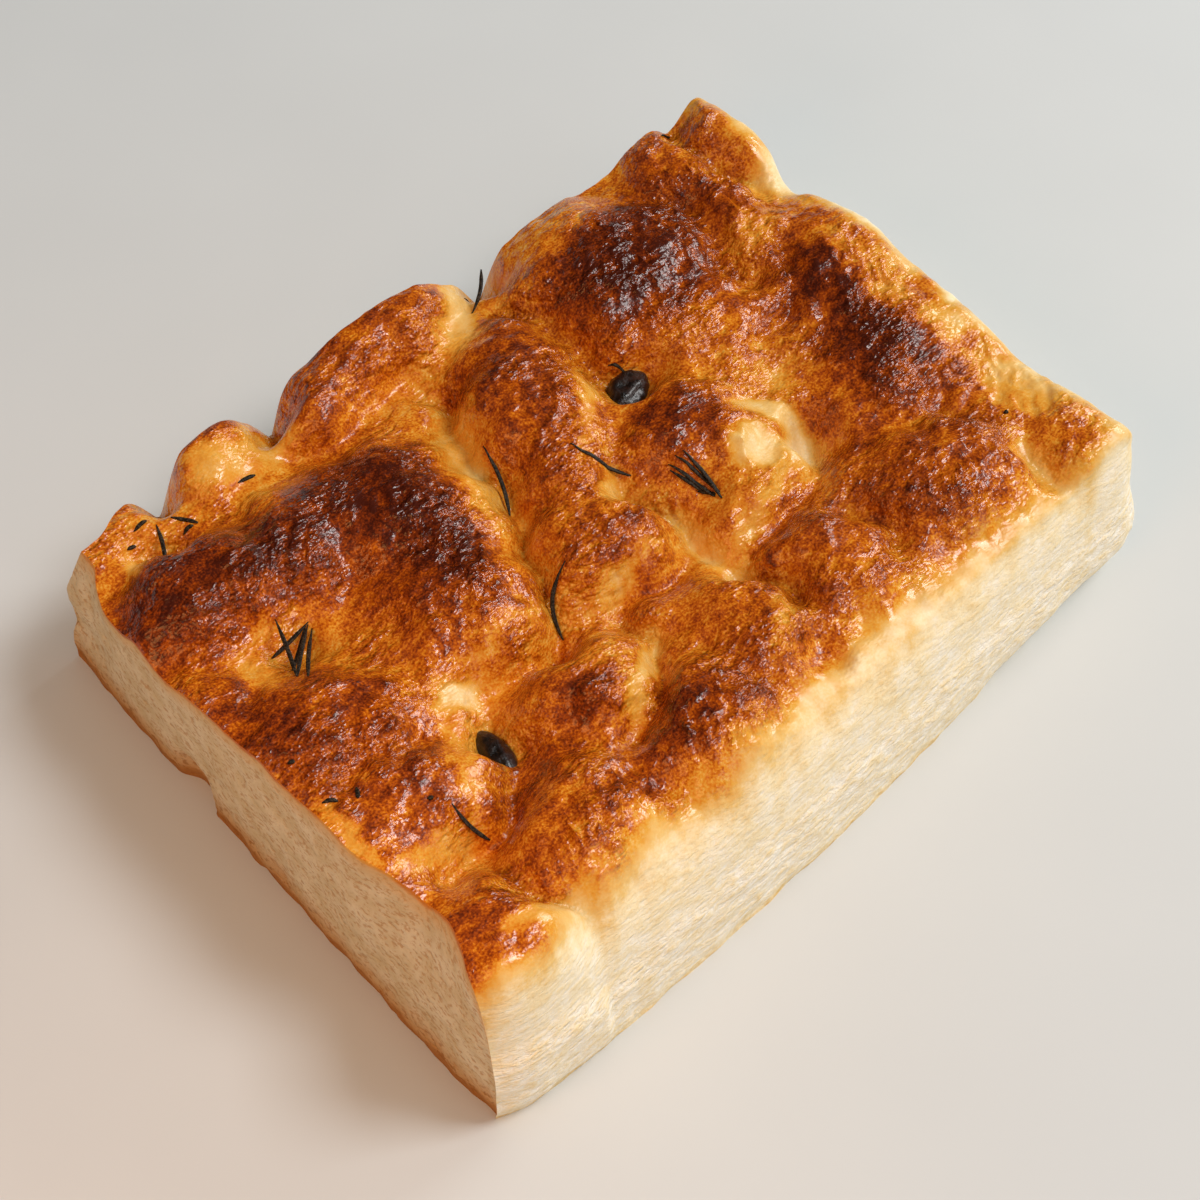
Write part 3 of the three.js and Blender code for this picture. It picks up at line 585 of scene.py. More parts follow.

# %% Orange and pale places; the pale strips on lit slopes are partly painted highlight
ORANGE = {
    "corner bump": (-94, 64, 7, 8, 0, 0.59),
    "hollow behind the left crown": (-75, 67, 6, 6, 0, 0.47),
    "between pale bump and crown": (-57, 54, 5, 6, 0, 0.45),
    "valley behind the middle crown": (-38, 55, 10, 3.5, 0, 0.67),
    "valley behind the centre": (-8, 56, 8, 3.5, 0, 0.47),
    "centre, right edge": (21, 42, 5, 9, 0, 0.6),
    "needle hollow": (-74, 18, 4.5, 6, 0, 0.52),
    "side dimple": (-63, 8, 4, 9, 0, 0.6),
    "cross furrow": (-40, -19, 14, 4, 12, 0.65),
    "cross furrow, right": (-9, -21, 11, 4, 0, 0.65),
    "middle furrow": (-24, 2, 3.5, 12, -22, 0.45),
    "lens": (-41, -33, 5.5, 3.4, 0, 0.92),
    "lens pillow, right": (-33, -28, 5, 5, 0, 0.49),
    "front corner, top": (-88, -51, 8, 5, 0, 0.62),
    "foot of the side crown, left": (-92, -26, 4, 7, 0, 0.66),
    "left of the small crown": (12, 3, 3.5, 10, 0, 0.6),
    "foot of the small crown": (20, -16, 9, 3, 0, 0.49),
    "skirt of the back crown": (38, 20, 12, 8, 0, 0.57),
    "star crease": (63, 17, 6, 5, 0, 0.7),
    "pit, right slope": (58, -2, 3.5, 9, 12, 0.62),
    "below the pit": (54, -22, 10, 4, 0, 0.75),
    "below the small crown": (22, -27, 12, 3.5, 25, 0.75),
    "front ridge, right slope": (33, -41, 4.5, 6, 0, 0.65),
    "right end, skirt": (76, 36, 6, 7, 0, 0.4),
    "right crown, right slope": (86, 12, 4, 12, 0, 0.4),
    "front shoulder": (5, -56, 4.5, 2.5, 0, 0.57),
    "front shoulder, left": (-45, -62, 22, 2.5, 0, 0.52),
}
# Pale places on slopes and rims that face the light from the right, such as the right slopes of the
# middle crown, the back ridge and the front middle, are partly pale crust and partly painted highlight.
PALE_AND_PAINTED_HIGHLIGHT = {
    "corner bump, rim": (-88, 58, 2.2, 5.6, -15, 0.2),
    "pale bump": (-58, 67, 7.2, 4.8, 0, 0.3),
    "middle notch": (-46, 66, 4.5, 4.8, 0, 0.35),
    "right slope of the middle crown": (-21, 24, 22.5, 4.6, 65, 0.28),
    "lower rim of the middle crown": (-44, -8, 18, 1.8, 0, 0.3),
    "back ridge, front slope": (-15, 64, 11.7, 2.4, 0, 0.65),
    "back ridge, right slope": (11, 67, 10.8, 3.6, 48, 0.21),
    "behind the centre": (5, 60, 6.3, 4, 40, 0.39),
    "centre, left side": (-9, 40, 1.8, 8, 0, 0.38),
    "centre, lower right rim": (12, 25, 12.6, 2.4, 48, 0.31),
    "foot of the centre, right": (-1, 3, 7.2, 2.8, 48, 0.27),
    "foot of the centre, rim": (-12, -13, 9.9, 1.6, 0, 0.3),
    "needle hollow, left flank": (-86, 20, 3.1, 8, -10, 0.4),
    "needle hollow, back flank": (-80, 27, 4.5, 2, 0, 0.45),
    "side edge": (-99, -26, 2, 8.8, 0, 0.32),
    "side furrow, rim": (-89, -38, 8.1, 1.8, 0, 0.36),
    "foot of the side crown, right rim": (-69, -25, 12.6, 2.2, 62, 0.37),
    "olive rim": (-59, -12, 5.4, 1.8, 0, 0.13),
    "lens pillow, rim": (-29, -36, 11.7, 1.8, 38, 0.25),
    "beside the lens pillow": (-19, -25, 2, 4.8, 20, 0.45),
    "front middle, right slope": (0, -47, 8.1, 2.1, 45, 0.33),
    "swirl": (7, -29, 2.7, 2.8, 0, 0.27),
    "strip by the furrow": (8, -15, 2, 8.8, -8, 0.28),
    "torn skin": (31, -10, 5.4, 5.6, 0, 0.12),
    "pit, upper flank": (42, -2, 7.2, 2.8, -42, 0.19),
    "pit, lower flank": (43, -12, 8.1, 3.2, 42, 0.11),
    "pit": (52, -8, 3.1, 5.6, 0, 0.75),
    "slope towards the pit": (54, 4, 6, 3.6, 0, 0.42),
    "foot of the small crown, rim": (24, -19.5, 11.7, 1.4, 12, 0.33),
    "right edge hollow": (96, 48, 6.3, 4.8, 20, 0.22),
    "far corner, edge": (102, 66, 2.2, 7.2, 0, 0.35),
    "right edge": (99, 22, 3.6, 8.8, 0, 0.11),
    "right edge, front": (84, 2, 5, 4.8, 0, 0.3),
    "right edge notch": (98, -8, 3.6, 2, 0, 0.07),
    "foot of the right crown, right": (88, -13, 3.6, 4.8, 0, 0.31),
    "baked corner": (87, -36, 5, 9, 0, 0.24),
    "swirl at the baked corner": (75, -51, 3.1, 4.8, 0, 0.25),
    "front corner shoulder": (-82, -64, 9, 2.4, 0, 0.25),
    "front shoulder, middle": (14, -63, 21.6, 2.8, 0, 0.21),
}
print(len(ORANGE), "orange places and", len(PALE_AND_PAINTED_HIGHLIGHT), "pale places")


# %% Blend the levels
def browning(x, y, height, distance_in):
    """Level from 0, cream, to 1, mahogany. distance_in is the way in from the baked sides."""
    total = np.full(np.shape(x), 0.22)
    level = total * np.clip(0.58 + 0.02 * (height - 40), 0.42, 0.75)
    shift_x = 1.6 * lattice_noise(x, y, 7, 101) + 0.7 * lattice_noise(x, y, 2.6, 102)
    shift_y = 1.6 * lattice_noise(x, y, 7, 103) + 0.7 * lattice_noise(x, y, 2.6, 104)
    for place in (*BROWNED.values(), *ORANGE.values(), *PALE_AND_PAINTED_HIGHLIGHT.values()):
        q = ellipse_radius(x + shift_x, y + shift_y, place)
        weight = np.exp(-1.3 * q**2.4)
        total += weight
        level += weight * place[5]
    streaks = 0.9 * folds(x, y, 3, 3, 66, 105) + 3.5 * lattice_noise(x, y, 9, 106)
    edge = smooth_step((15 + streaks - distance_in) / 17)
    on_folds = 0.11 * wrinkle_height(x, y)
    return (level / total + on_folds) * (1 - edge) + 0.07 * edge


distance_in = np.minimum(from_front, from_right)
top_bake = browning(top_x, top_y, top_z, distance_in)
print("browning: from", round(top_bake.min(), 2), "to", round(top_bake.max(), 2))

# %% Put the bread together
corners = np.stack([top_x, top_y, top_z], axis=-1).reshape(-1, 3)
point = np.arange(len(corners)).reshape(top_x.shape)
points = np.concatenate([corners, *rows])
ring_size = len(base_ring)
wall_rings = [len(corners) + k * ring_size + np.arange(ring_size) for k in range(WALL_ROWS)]
rings = [edge_of(point), *wall_rings]


def grid_faces(g):
    return np.stack([g[:-1, :-1], g[1:, :-1], g[1:, 1:], g[:-1, 1:]], axis=-1).reshape(-1, 4)


wall_faces = np.concatenate([
    np.stack([upper, lower, np.roll(lower, -1), np.roll(upper, -1)], axis=-1)
    for upper, lower in zip(rings, rings[1:])
])
top_faces = grid_faces(point)
underside = rings[-1][::-1]
low, high = (np.array(corner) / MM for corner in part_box("bread"))
points = np.clip(points, low, high)
faces = [*top_faces.tolist(), *wall_faces.tolist(), underside.tolist()]
print("bread:", len(points), "points and", 2 * len(faces), "triangles")

# %% What each point knows
edge_bake = edge_of(top_bake)
bake, cut_depth = [top_bake.ravel()], [np.zeros(len(corners))]
wall = [0.6 * smooth_step((9 - distance_in) / 9).ravel()]
for row_points in rows:
    depth = rim_ring[:, 2] - row_points[:, 2]
    fade = np.where(is_cut, 1, np.exp(-depth / 5))
    floor_line = 0.12 * smooth_step((2.5 - row_points[:, 2]) / 2.5)
    bake.append(edge_bake * fade + (1 - fade) * (0.06 + floor_line))
    cut_depth.append(depth)
    wall.append(0.6 + 0.4 * smooth_step(depth / 6))


def bread_mesh():
    mesh = bpy.data.meshes.new("bread_body")
    mesh.from_pydata((points * MM).tolist(), [], faces)
    for name, values in (("bake", bake), ("cut_depth", cut_depth), ("wall", wall)):
        attribute = mesh.attributes.new(name, "FLOAT", "POINT")
        attribute.data.foreach_set("value", np.concatenate(values).astype(np.float32))
    kind = np.concatenate([
        np.zeros(len(top_faces), int),
        np.tile(is_cut.astype(int), WALL_ROWS),
        [2],
    ])
    mesh.polygons.foreach_set("material_index", kind.astype(np.int32))
    mesh.polygons.foreach_set("use_smooth", np.ones(len(kind), bool))
    mesh.update()
    mesh.set_sharp_from_angle(angle=math.radians(52))
    return mesh


bread = bpy.data.objects.new("bread_body", bread_mesh())
bpy.context.collection.objects.link(bread)
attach(bread, "root")
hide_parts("bread")
print("bread faces:", len(bread.data.polygons))

# %% [markdown]
# ## Writing finishes as sums
# A finish is a graph of shader nodes, and long graphs are hard to read. The small class below
# wraps one output socket, so that `0.5 + 0.3 * noise` adds the Math nodes for us.
# Colours go through Mix nodes, because a Math node would turn them grey. Everything else comes
# from one method, node(), which sets a node's settings first and then its sockets.


# %% The socket class
class Wire:
    """One output socket of a finish, to be used in sums."""

    def __init__(self, finish, socket):
        self.finish, self.socket = finish, socket

    def math(self, operation, *values):
        sockets = dict(enumerate(values))
        return self.finish.node("ShaderNodeMath", {"operation": operation}, sockets)

    def __add__(self, other):
        return self.math("ADD", self, other)

    def __sub__(self, other):
        return self.math("SUBTRACT", self, other)

    def __rsub__(self, other):
        return self.math("SUBTRACT", other, self)

    def __mul__(self, other):
        return self.math("MULTIPLY", self, other)

    __radd__, __rmul__ = __add__, __mul__

    def ramp_between(self, low, high):
        """0 below low, 1 above high, and a smooth step between."""
        sockets = {"Value": self, "From Min": low, "From Max": high}
        return self.finish.node("ShaderNodeMapRange", {"interpolation_type": "SMOOTHSTEP"}, sockets)


print("a socket takes part in sums with + - * and ramp_between")


# %% The finish class
class Finish:
    """A material that is being wired up."""

    def __init__(self, name):
        self.material = bpy.data.materials.new(name)
        self.material.use_nodes = True
        self.tree = self.material.node_tree
        self.tree.nodes.clear()

    def node(self, kind, settings, sockets, output=0):
        node = self.tree.nodes.new(kind)
        for name, value in settings.items():
            if name == "stops":
                self.set_stops(node.color_ramp, value)
            else:
                setattr(node, name, value)
        for name, value in sockets.items():
            if isinstance(value, Wire):
                self.tree.links.new(value.socket, node.inputs[name])
            else:
                node.inputs[name].default_value = value
        return Wire(self, node.outputs[output]) if node.outputs else None

    @staticmethod
    def set_stops(ramp, stops):
        while len(ramp.elements) < len(stops):
            ramp.elements.new(1)
        for element, (position, colour) in zip(ramp.elements, stops):
            element.position = position
            element.color = colour

    def mix(self, share, first, second):
        """Colour that goes from the first to the second as share goes from 0 to 1."""
        sockets = {0: share, 6: first, 7: second}
        return self.node("ShaderNodeMix", {"data_type": "RGBA"}, sockets, output=2)

    def place(self, *scale):
        """Millimetres on the object, stretched by scale."""
        at = self.node("ShaderNodeTexCoord", {}, {}, output=3)
        factor = tuple(1000 * s for s in scale or (1, 1, 1))
        return self.node("ShaderNodeVectorMath", {"operation": "MULTIPLY"}, {0: at, 1: factor})

    def noise(self, at, size, detail=2, roughness=0.5):
        """Noise around 0.5 whose features are about size millimetres across."""
        sockets = {"Vector": at, "Scale": 1 / size, "Detail": detail, "Roughness": roughness}
        return self.node("ShaderNodeTexNoise", {}, sockets)

    def painted(self, name):
        """The number that each point of the mesh carries under this name."""
        return self.node("ShaderNodeAttribute", {"attribute_name": name}, {}, output=2)

    def bump(self, height):
        """Normal from a height in millimetres."""
        sockets = {"Height": height * MM, "Strength": 1, "Distance": 1}
        return self.node("ShaderNodeBump", {}, sockets)

    def skin(self, **sockets):
        """The finished material, given the sockets of its one shader."""
        named = {name.replace("_", " "): value for name, value in sockets.items()}
        shader = self.node("ShaderNodeBsdfPrincipled", {}, named)
        self.node("ShaderNodeOutputMaterial", {}, {"Surface": shader})
        return self.material


def colour(code):
    """Linear colour from a web code such as c86a10."""
    channels = [int(code[i : i + 2], 16) / 255 for i in (0, 2, 4)]
    return (*[c / 12.92 if c <= 0.04045 else ((c + 0.055) / 1.055) ** 2.4 for c in channels], 1)


print("cream in linear light:", [round(c, 2) for c in colour("f4e8c8")])

# %% [markdown]
# ## The baked crust
# The crust is thin, brown skin with a film of olive oil. Where it browned most it is crinkled,
# and every crinkle breaks the shine of the oil. The sides against the tray are cream, duller,
# and drawn into level fibres.
# One ramp turns the painted level into colour, and noise shifts the level a little before
# the ramp, so that the mottling always stays within the colours of real crust. Crinkles this
# small are bump, since a mesh fine enough for them would be very heavy. They stay coarser than
# the grain of the colour, because bump as fine as the grain scatters the shine away.

# %% Crust colours
CRUST_STOPS = [
    (0.00, colour("fcf4e4")),
    (0.12, colour("f5e0b4")),
    (0.26, colour("e6bc6e")),
    (0.38, colour("dfa03a")),
    (0.50, colour("d5801b")),
    (0.62, colour("b95b0a")),
    (0.74, colour("933e08")),
    (0.87, colour("6a280a")),
    (1.00, colour("45180b")),
]


def baked_crust():
    """The painted fields that steer it are bake, the level, and wall, which is 1 on the sides."""
    crust = Finish("baked_crust")
    at = crust.place()
    bake, wall = crust.painted("bake"), crust.painted("wall")
    mottle = crust.noise(at, 4.5, detail=3, roughness=0.6)
    grain = crust.noise(at, 0.55, detail=1)
    crinkle = crust.noise(crust.place(0.75, 1.3, 1.3), 2.8, detail=2)
    crinkled = 0.3 + 1.3 * crust.noise(at, 13, detail=1).ramp_between(0.35, 0.65)
    fibres = crust.noise(crust.place(0.4, 0.4, 1.2), 1.3, detail=3, roughness=0.65)
    speckled = bake.ramp_between(0.3, 0.6)
    level = bake + 0.42 * (mottle - 0.5) * (0.35 + bake) + 0.5 * (grain - 0.5) * (0.2 + speckled)
    level = level + 0.5 * (crinkle - 0.5) * speckled + 0.4 * (fibres - 0.5) * wall
    hue = crust.node("ShaderNodeValToRGB", {"stops": CRUST_STOPS}, {"Fac": level})
    oiled = bake.ramp_between(0.14, 0.42)
    grain_height = 0.07 * grain * (0.2 + speckled)
    crinkle_height = 1.7 * crinkle * crinkled * (0.3 + 0.7 * speckled) * (1 - wall)
    fibre_height = 1.1 * fibres * wall
    return crust.skin(
        Base_Color=hue,
        Roughness=0.48 + 0.4 * (mottle - 0.45) - 0.28 * oiled + 0.2 * wall,
        Specular_IOR_Level=0.5,
        Normal=crust.bump(grain_height + crinkle_height + fibre_height),
    )


bread.data.materials.append(baked_crust())
print("crust colours:", len(CRUST_STOPS))

# %% [markdown]
# ## The crumb
# A knife cut shows fine, uneven holes drawn out level with the tray, and under the top and
# over the tray a thin line of crust. The holes get a darker colour as painted shade. The finish
# knows how deep each point lies below the top edge and how high it lies over the tray, and draws
# both lines from that.


# %% Cut faces
def cut_crumb():
    crumb = Finish("cut_crumb")
    at = crumb.place()
    bake, depth = crumb.painted("bake"), crumb.painted("cut_depth")
    over_tray = crumb.node("ShaderNodeSeparateXYZ", {}, {0: at}, output=2)
    level = crumb.place(0.55, 0.55, 1)
    wander = crumb.noise(at, 6, detail=3)
    holes = crumb.noise(level, 0.9, detail=3, roughness=0.6)
    # The holes are painted darker, as painted shade that falls inside them.
    hole_shade = 1 - holes.ramp_between(0.36, 0.5)
    soft = crumb.mix(wander.ramp_between(0.3, 0.7), colour("d3bd94"), colour("e2d1b0"))
    body = crumb.mix(0.65 * hole_shade, soft, colour("b98958"))
    golden = 1 - (over_tray - 9 * (wander - 0.5)).ramp_between(1.5, 13)
    body = crumb.mix(0.85 * golden, body, colour("c68d4a"))
    spots = golden * (1 - crumb.noise(at, 1.6, detail=3).ramp_between(0.36, 0.46))
    body = crumb.mix(0.75 * spots, body, colour("9c5f26"))
    crust = crumb.node("ShaderNodeValToRGB", {"stops": CRUST_STOPS}, {"Fac": 0.8 * bake})
    top_line = 1 - (depth - 1.6 * (wander - 0.5)).ramp_between(0.2, 1.4)
    gold = 1 - (depth - 6 * (wander - 0.5)).ramp_between(0.5, 6)
    body = crumb.mix(0.6 * gold, body, colour("d9a35c"))
    body = crumb.mix(top_line, body, crust)
    tray_line = 1 - (over_tray - 6 * (wander - 0.5)).ramp_between(1.5, 4.5)
    body = crumb.mix(0.8 * tray_line, body, colour("a8682a"))
    return crumb.skin(
        Base_Color=body,
        Roughness=0.85 - 0.4 * top_line,
        Specular_IOR_Level=0.25,
        Normal=crumb.bump(0.9 * holes + 0.5 * wander),
    )


def tray_crust():
    under = Finish("tray_crust")
    at = under.place()
    blotch = under.noise(at, 11, detail=4, roughness=0.6)
    grain = under.noise(at, 0.9, detail=3)
    body = under.mix(blotch.ramp_between(0.35, 0.65), colour("a9682c"), colour("cf9850"))
    return under.skin(
        Base_Color=under.mix(0.3 * grain, body, colour("6e3d18")),
        Roughness=0.55 + 0.2 * (blotch - 0.5),
        Normal=under.bump(0.2 * grain + 0.3 * blotch),
    )


bread.data.materials.append(cut_crumb())
bread.data.materials.append(tray_crust())
print("bread finishes:", [m.name for m in bread.data.materials])

# %% [markdown]
# ## Olives
# Baked olives lose water, so their skin shrivels into folds that run from end to end. Each one
# is an ovoid whose rings are pushed in and out by a few waves and by noise. The back olive is
# torn: one side is drawn out into a tail.

# %% Olive shapes
# Middle, half sizes, turn in degrees, share sunk, depth of the folds, tail.
OLIVES = {
    "olive_1": ((26, 26.2), (7.8, 5.3, 4.6), 28, 0.35, 0.11, 0.45),
    "olive_2": ((-60.3, -25.3), (7.2, 3.3, 3.5), 84, 0.4, 0.07, 0.0),
}
OLIVE_ROUND, OLIVE_LONG = 96, 64
print("olives:", list(OLIVES), "with", OLIVE_ROUND, "x", OLIVE_LONG, "points each")


def olive_points(middle, half, turn, sunk, folded, tail):
    along, round_ = np.meshgrid(
        np.linspace(0, np.pi, OLIVE_LONG), np.linspace(0, 2 * np.pi, OLIVE_ROUND, endpoint=False)
    )
    x, ring = np.cos(along), np.sin(along)
    waves = np.sin(3 * round_ + 2.5 * x) + 0.5 * np.sin(7 * round_ - 4 * x + 1)
    turned, run_along = 6 * round_ / np.pi, 5 * x
    crinkle = lattice_noise(turned, run_along, 1.5, 7) + 0.4 * lattice_noise(turned, run_along, 0.6, 8)
    scale = 1 + ring * folded * (0.45 * waves - 0.35 + 0.6 * crinkle) - tail * (0.5 - 0.5 * x) ** 2
    y, z = ring * scale * np.cos(round_), ring * scale * np.sin(round_)
    local = np.stack([x * half[0], y * half[1], z * half[2]], axis=-1).reshape(-1, 3)
    spin = Matrix.Rotation(math.radians(turn), 3, "Z")
    lift = float(dough_height(*middle)) + half[2] * (1 - 2 * sunk)
    return local @ np.array(spin).T + np.array([*middle, lift])


def tube_faces(rings, sides):
    """Quads between rings of points, with each ring's points in one run."""
    k = np.arange(rings * sides).reshape(rings, sides)
    ahead = np.roll(k, -1, axis=1)
    return np.stack([k[:-1], ahead[:-1], ahead[1:], k[1:]], axis=-1).reshape(-1, 4).tolist()


def add_piece(name, points, faces, finish, slot, replaced):
    mesh = bpy.data.meshes.new(name)
    mesh.from_pydata((np.asarray(points) * MM).tolist(), [], faces)
    mesh.polygons.foreach_set("use_smooth", np.ones(len(faces), bool))
    mesh.materials.append(finish)
    piece = bpy.data.objects.new(name, mesh)
    bpy.context.collection.objects.link(piece)
    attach(piece, "root")
    if replaced:
        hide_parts(replaced)
    print(name, "faces:", len(faces))
    return piece


# %% Olive finish
def olive_skin():
    olive = Finish("olive_skin")
    at = olive.place()
    blotch = olive.noise(at, 1.8, detail=3)
    grain = olive.noise(at, 0.35, detail=2)
    body = olive.mix(blotch.ramp_between(0.4, 0.65), colour("0b0706"), colour("24150f"))
    return olive.skin(
        Base_Color=body,
        Roughness=0.3 + 0.5 * (blotch - 0.35),
        Coat_Weight=0.3,
        Coat_Roughness=0.15,
        Normal=olive.bump(0.18 * grain + 0.3 * blotch),
    )


olive_finish = olive_skin()
for name, shape in OLIVES.items():
    grid = olive_points(*shape).reshape(OLIVE_ROUND, OLIVE_LONG, 3).transpose(1, 0, 2)
    skin = tube_faces(OLIVE_LONG, OLIVE_ROUND)
    add_piece(name + "_skin", grid.reshape(-1, 3), skin, olive_finish, "olive", name)

# %% [markdown]
# ## Rosemary
# A rosemary needle is a narrow leaf whose edges roll under, with a groove along its middle.
# In the oven it dries almost black. Each needle is a slim spindle that follows the crust from
# one end to the other, and all of them are joined into one mesh. The last few are crumbs that
# broke off.

# %% Needle shapes
# Both ends, sideways bend, and how high each end lies over the crust.
NEEDLES = [
    ((14.5, 65.9), (22.9, 71.9), -0.8, -0.1, 15.7),
    ((-12.2, 32.1), (-18.2, 16.8), 1, -0.1, -0.1),
    ((-0.4, 16.7), (7.6, 5.7), -1, -0.1, -0.1),
    ((17.4, -0.2), (16.7, -13.2), 0.6, -0.1, -0.1),
    ((15.7, 0.4), (17.7, -11.6), 0.2, -0.1, -0.1),
    ((13.7, 0.5), (16.3, -11.5), 0.2, -0.1, -0.1),
    ((13.2, -0.6), (16.3, -10.4), -0.2, -0.1, -0.1),
    ((14.7, -7.8), (16.8, -11.2), 0.2, -0.1, -0.1),
    ((-21.2, -4.0), (-30.6, -13.4), -2.5, -0.1, -0.1),
    ((-75.0, 26.8), (-81.8, 11.1), 0.2, 0.8, 0.8),
    ((-69.3, 23.3), (-80.1, 22.3), 0.2, 0.2, 0.2),
    ((-70.1, 23.4), (-79.4, 16.3), 0.2, 0, 0),
    ((-69.7, 23.0), (-81.2, 11.8), -0.2, 0.3, 0.1),
    ((-69.5, 21.9), (-80.2, 9.4), -0.3, -0.1, -0.1),
    ((-77.1, 64.9), (-81.2, 56.6), 0.3, -0.1, -0.1),
    ((-81.8, 66.5), (-78.1, 66.9), 0.2, -0.1, -0.1),
    ((-85.4, 64.4), (-83.2, 64.5), 0.1, -0.1, -0.1),
    ((-73.5, 64.6), (-70.1, 59.4), 0.2, -0.1, -0.1),
    ((-74.0, 59.6), (-71.3, 59.6), 0.3, -0.1, -0.1),
    ((-57.3, 61.5), (-53.0, 61.1), 0.2, -0.1, -0.1),
    ((-79.1, -33.6), (-76.0, -41.0), -0.8, -0.1, -0.1),
    ((26.0, 32.4), (28.8, 28.7), 0.2, 0.1, 0.3),
    ((-98.3, -17.1), (-95.6, -18.8), 0.3, -0.1, -0.1),
    ((-90.8, -18.5), (-92.4, -21.0), 0.1, -0.1, -0.1),
    ((-97.4, -5.4), (-96.0, -6.0), 0.1, -0.1, -0.1),
    ((-82.6, -30.4), (-81.6, -31.0), 0.1, -0.1, -0.1),
    ((78.6, -39.8), (79.5, -40.3), 0.1, -0.1, -0.1),
    ((82.9, 73.5), (86.6, 74.3), 0.2, -0.1, -0.1),
    ((17.8, 72.2), (19.5, 72.3), 0.1, -0.1, -0.1),
]
NEEDLE_WIDE, NEEDLE_THICK, NEEDLE_STEPS, NEEDLE_SIDES = 0.48, 0.4, 20, 12
print("needles and crumbs of needle:", len(NEEDLES))


def needle_points(start, end, bend, lift_start, lift_end):
    start, end = np.array(start), np.array(end)
    t = np.linspace(0, 1, NEEDLE_STEPS)[:, None]
    along = end - start
    across = np.array([-along[1], along[0]]) / np.hypot(*along)
    plan = start + along * t + across * bend * np.sin(np.pi * t)
    crust = crust_height(plan[:, 0], plan[:, 1])[:, None]
    straight = (crust[0] + lift_start) * (1 - t) + (crust[-1] + lift_end) * t
    middle = np.hstack([plan, np.maximum(straight, crust + 0.15)])
    taper = np.minimum(1, 2.2 * (t + 0.12)) * np.minimum(1, 4 * (1.06 - t)) ** 0.7
    angle = np.linspace(0, 2 * np.pi, NEEDLE_SIDES, endpoint=False)
    wide = NEEDLE_WIDE * taper * np.cos(angle)
    thick = NEEDLE_THICK * taper * np.sin(angle) * (1 - 0.3 * np.exp(-((np.cos(angle) / 0.25) ** 2)))
    points = middle[:, None] + wide[..., None] * np.array([*across, 0]) + thick[..., None] * [0, 0, 1]
    return points.reshape(-1, 3)


def joined(runs, rings, sides):
    """Many tubes as one list of points and one list of faces, with their ends closed."""
    points, faces, tube = [], [], tube_faces(rings, sides)
    for run_points in runs:
        start = sum(map(len, points))
        points.append(run_points)
        faces += [[start + i for i in face] for face in tube]
        faces.append([start + i for i in range(sides)][::-1])
        faces.append([start + (rings - 1) * sides + i for i in range(sides)])
    return np.concatenate(points), faces


# %% Needle finish
def dried_needle():
    needle = Finish("dried_needle")
    at = needle.place()
    streak = needle.noise(at, 0.5, detail=3, roughness=0.7)
    body = needle.mix(streak.ramp_between(0.42, 0.68), colour("15110c"), colour("463c2f"))
    return needle.skin(
        Base_Color=body,
        Roughness=0.5 + 0.4 * (streak - 0.5),
        Specular_IOR_Level=0.2,
        Normal=needle.bump(0.12 * streak),
    )


needle_mesh = joined([needle_points(*needle) for needle in NEEDLES], NEEDLE_STEPS, NEEDLE_SIDES)
add_piece("rosemary_needles", *needle_mesh, dried_needle(), "rosemary", "bread")

# %% [markdown]
# ## Floor, camera and light
# The bread stands on a plain pale floor, and the camera looks down on its front corner. A soft
# light from the right models the pillows, a low one on the same side makes the oil glint, and a
# weak one fills the front side. A small warm light by the left cut gives the glow that golden
# crust throws on what is near it, and a dim pale surrounding lifts the shadows. Oil would
# mirror that surrounding as a grey veil over dark crust, so it is left out of reflections.


# %% Floor
def pale_floor():
    floor = Finish("pale_floor")
    cloud = floor.noise(floor.place(), 60)
    body = floor.mix(cloud, colour("cacfd0"), colour("cfd4d5"))
    return floor.skin(Base_Color=body, Roughness=0.6 + 0.1 * cloud)


FLOOR_REACH = 3.0
floor_corners = [(FLOOR_REACH * x, FLOOR_REACH * y, 0) for x, y in ((-1, -1), (1, -1), (1, 1), (-1, 1))]
floor_mesh = bpy.data.meshes.new("floor")
floor_mesh.from_pydata(floor_corners, [], [(0, 1, 2, 3)])
floor_mesh.materials.append(pale_floor())
floor = bpy.data.objects.new("floor", floor_mesh)
bpy.context.collection.objects.link(floor)
print("floor:", 2 * FLOOR_REACH, "m across")

# %% Camera
CAMERA_AZIMUTH, CAMERA_ELEVATION, CAMERA_ROLL = (math.radians(a) for a in (-44.174, 54.098, 0.897))
CAMERA_DISTANCE = 0.54943
CAMERA_TARGET = Vector((-0.011866, -0.005166, 0.020))

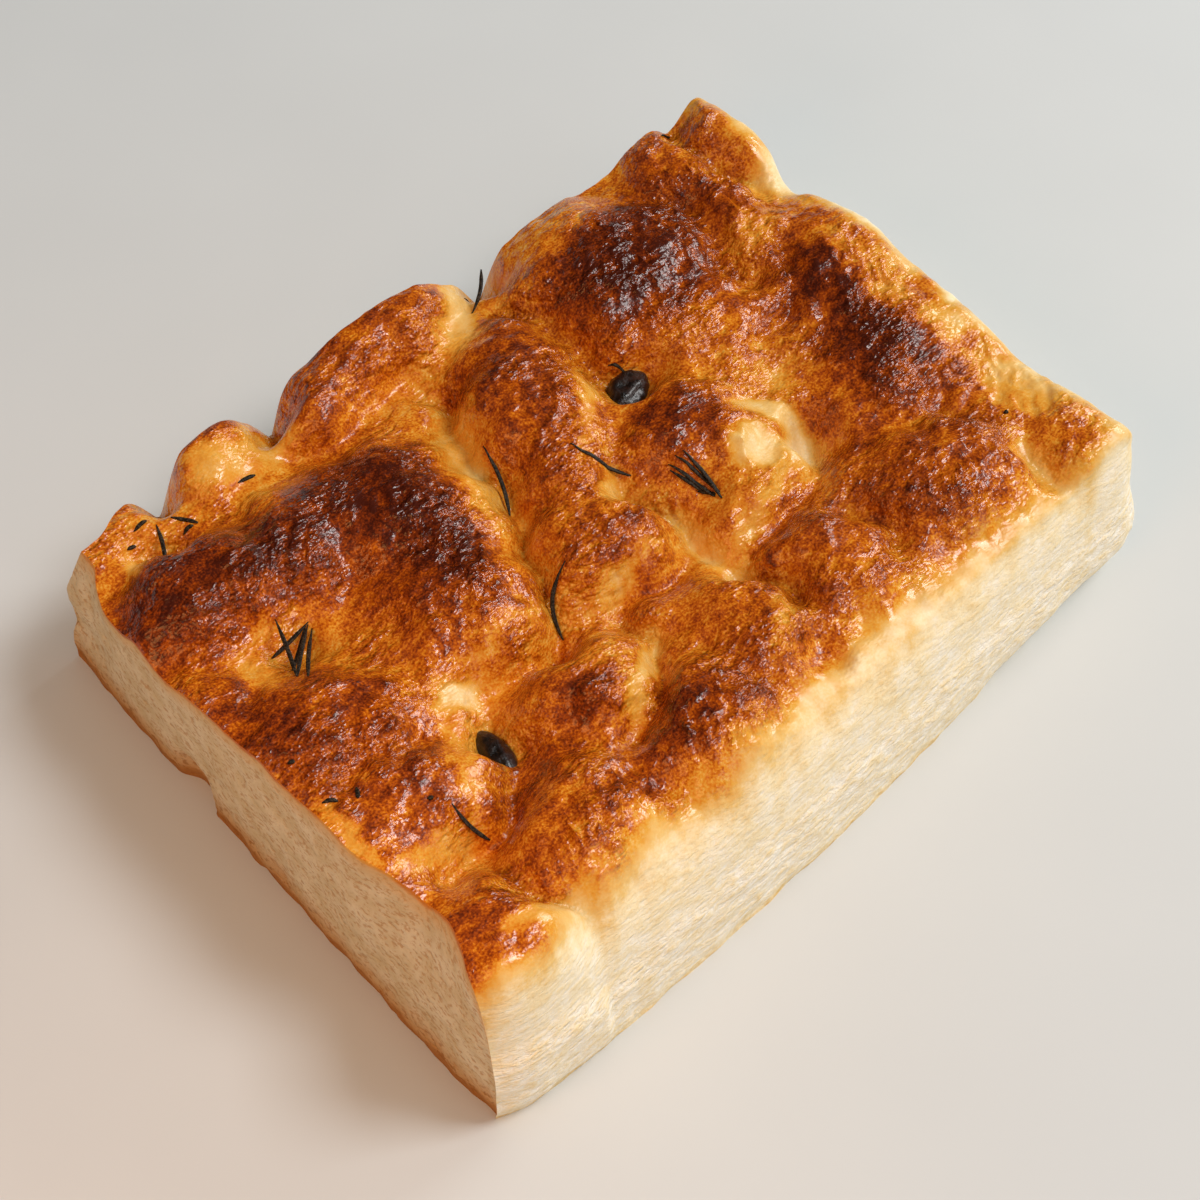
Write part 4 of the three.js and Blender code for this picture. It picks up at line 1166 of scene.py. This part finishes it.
back = Vector((
    math.sin(CAMERA_AZIMUTH) * math.cos(CAMERA_ELEVATION),
    -math.cos(CAMERA_AZIMUTH) * math.cos(CAMERA_ELEVATION),
    math.sin(CAMERA_ELEVATION),
))
level_right = (-back).cross(Vector((0, 0, 1))).normalized()
level_up = back.cross(level_right)
cos_roll, sin_roll = math.cos(CAMERA_ROLL), math.sin(CAMERA_ROLL)
right = level_right * cos_roll + level_up * sin_roll
up = level_up * cos_roll - level_right * sin_roll
where = CAMERA_TARGET + back * CAMERA_DISTANCE
camera = bpy.data.objects.new("camera", bpy.data.cameras.new("camera"))
camera.data.lens, camera.data.sensor_width = 75, 36
camera.matrix_world = Matrix([(*row, at) for row, at in zip(zip(right, up, back), where)]).to_4x4()
bpy.context.collection.objects.link(camera)
bpy.context.scene.camera = camera
print("camera at", [round(v, 3) for v in where])


# %% Lights
def soft_light(name, azimuth, elevation, away, size, watts, tint):
    """A square light that looks at the bread. Azimuth 0 is +X, anticlockwise."""
    a, e = math.radians(azimuth), math.radians(elevation)
    direction = Vector((math.cos(a) * math.cos(e), math.sin(a) * math.cos(e), math.sin(e)))
    light = bpy.data.objects.new(name, bpy.data.lights.new(name, "AREA"))
    light.data.energy, light.data.size, light.data.color = watts, size, tint
    light.location = direction * away
    light.rotation_mode = "QUATERNION"
    light.rotation_quaternion = direction.to_track_quat("Z", "Y")
    bpy.context.collection.objects.link(light)


# Azimuth and elevation in degrees, distance and size in metres, watts, colour.
soft_light("key", -38, 56, 2.2, 0.76, 27, (1, 0.99, 0.98))
soft_light("front_fill", -84, 12, 1.4, 0.8, 2.6, (1, 0.97, 0.92))
soft_light("glints", -2, 24, 1.4, 0.5, 7, (1, 0.99, 0.97))
soft_light("warm_glow", 195, 42, 0.42, 0.2, 0.5, (1, 0.45, 0.15))
world = bpy.data.worlds.new("surroundings")
world.use_nodes = True
background = world.node_tree.nodes["Background"]
background.inputs["Color"].default_value = (1, 0.95, 0.89, 1)
background.inputs["Strength"].default_value = 0.33
bpy.context.scene.world = world
world.cycles_visibility.glossy = False
bpy.context.scene.view_settings.view_transform = "Standard"
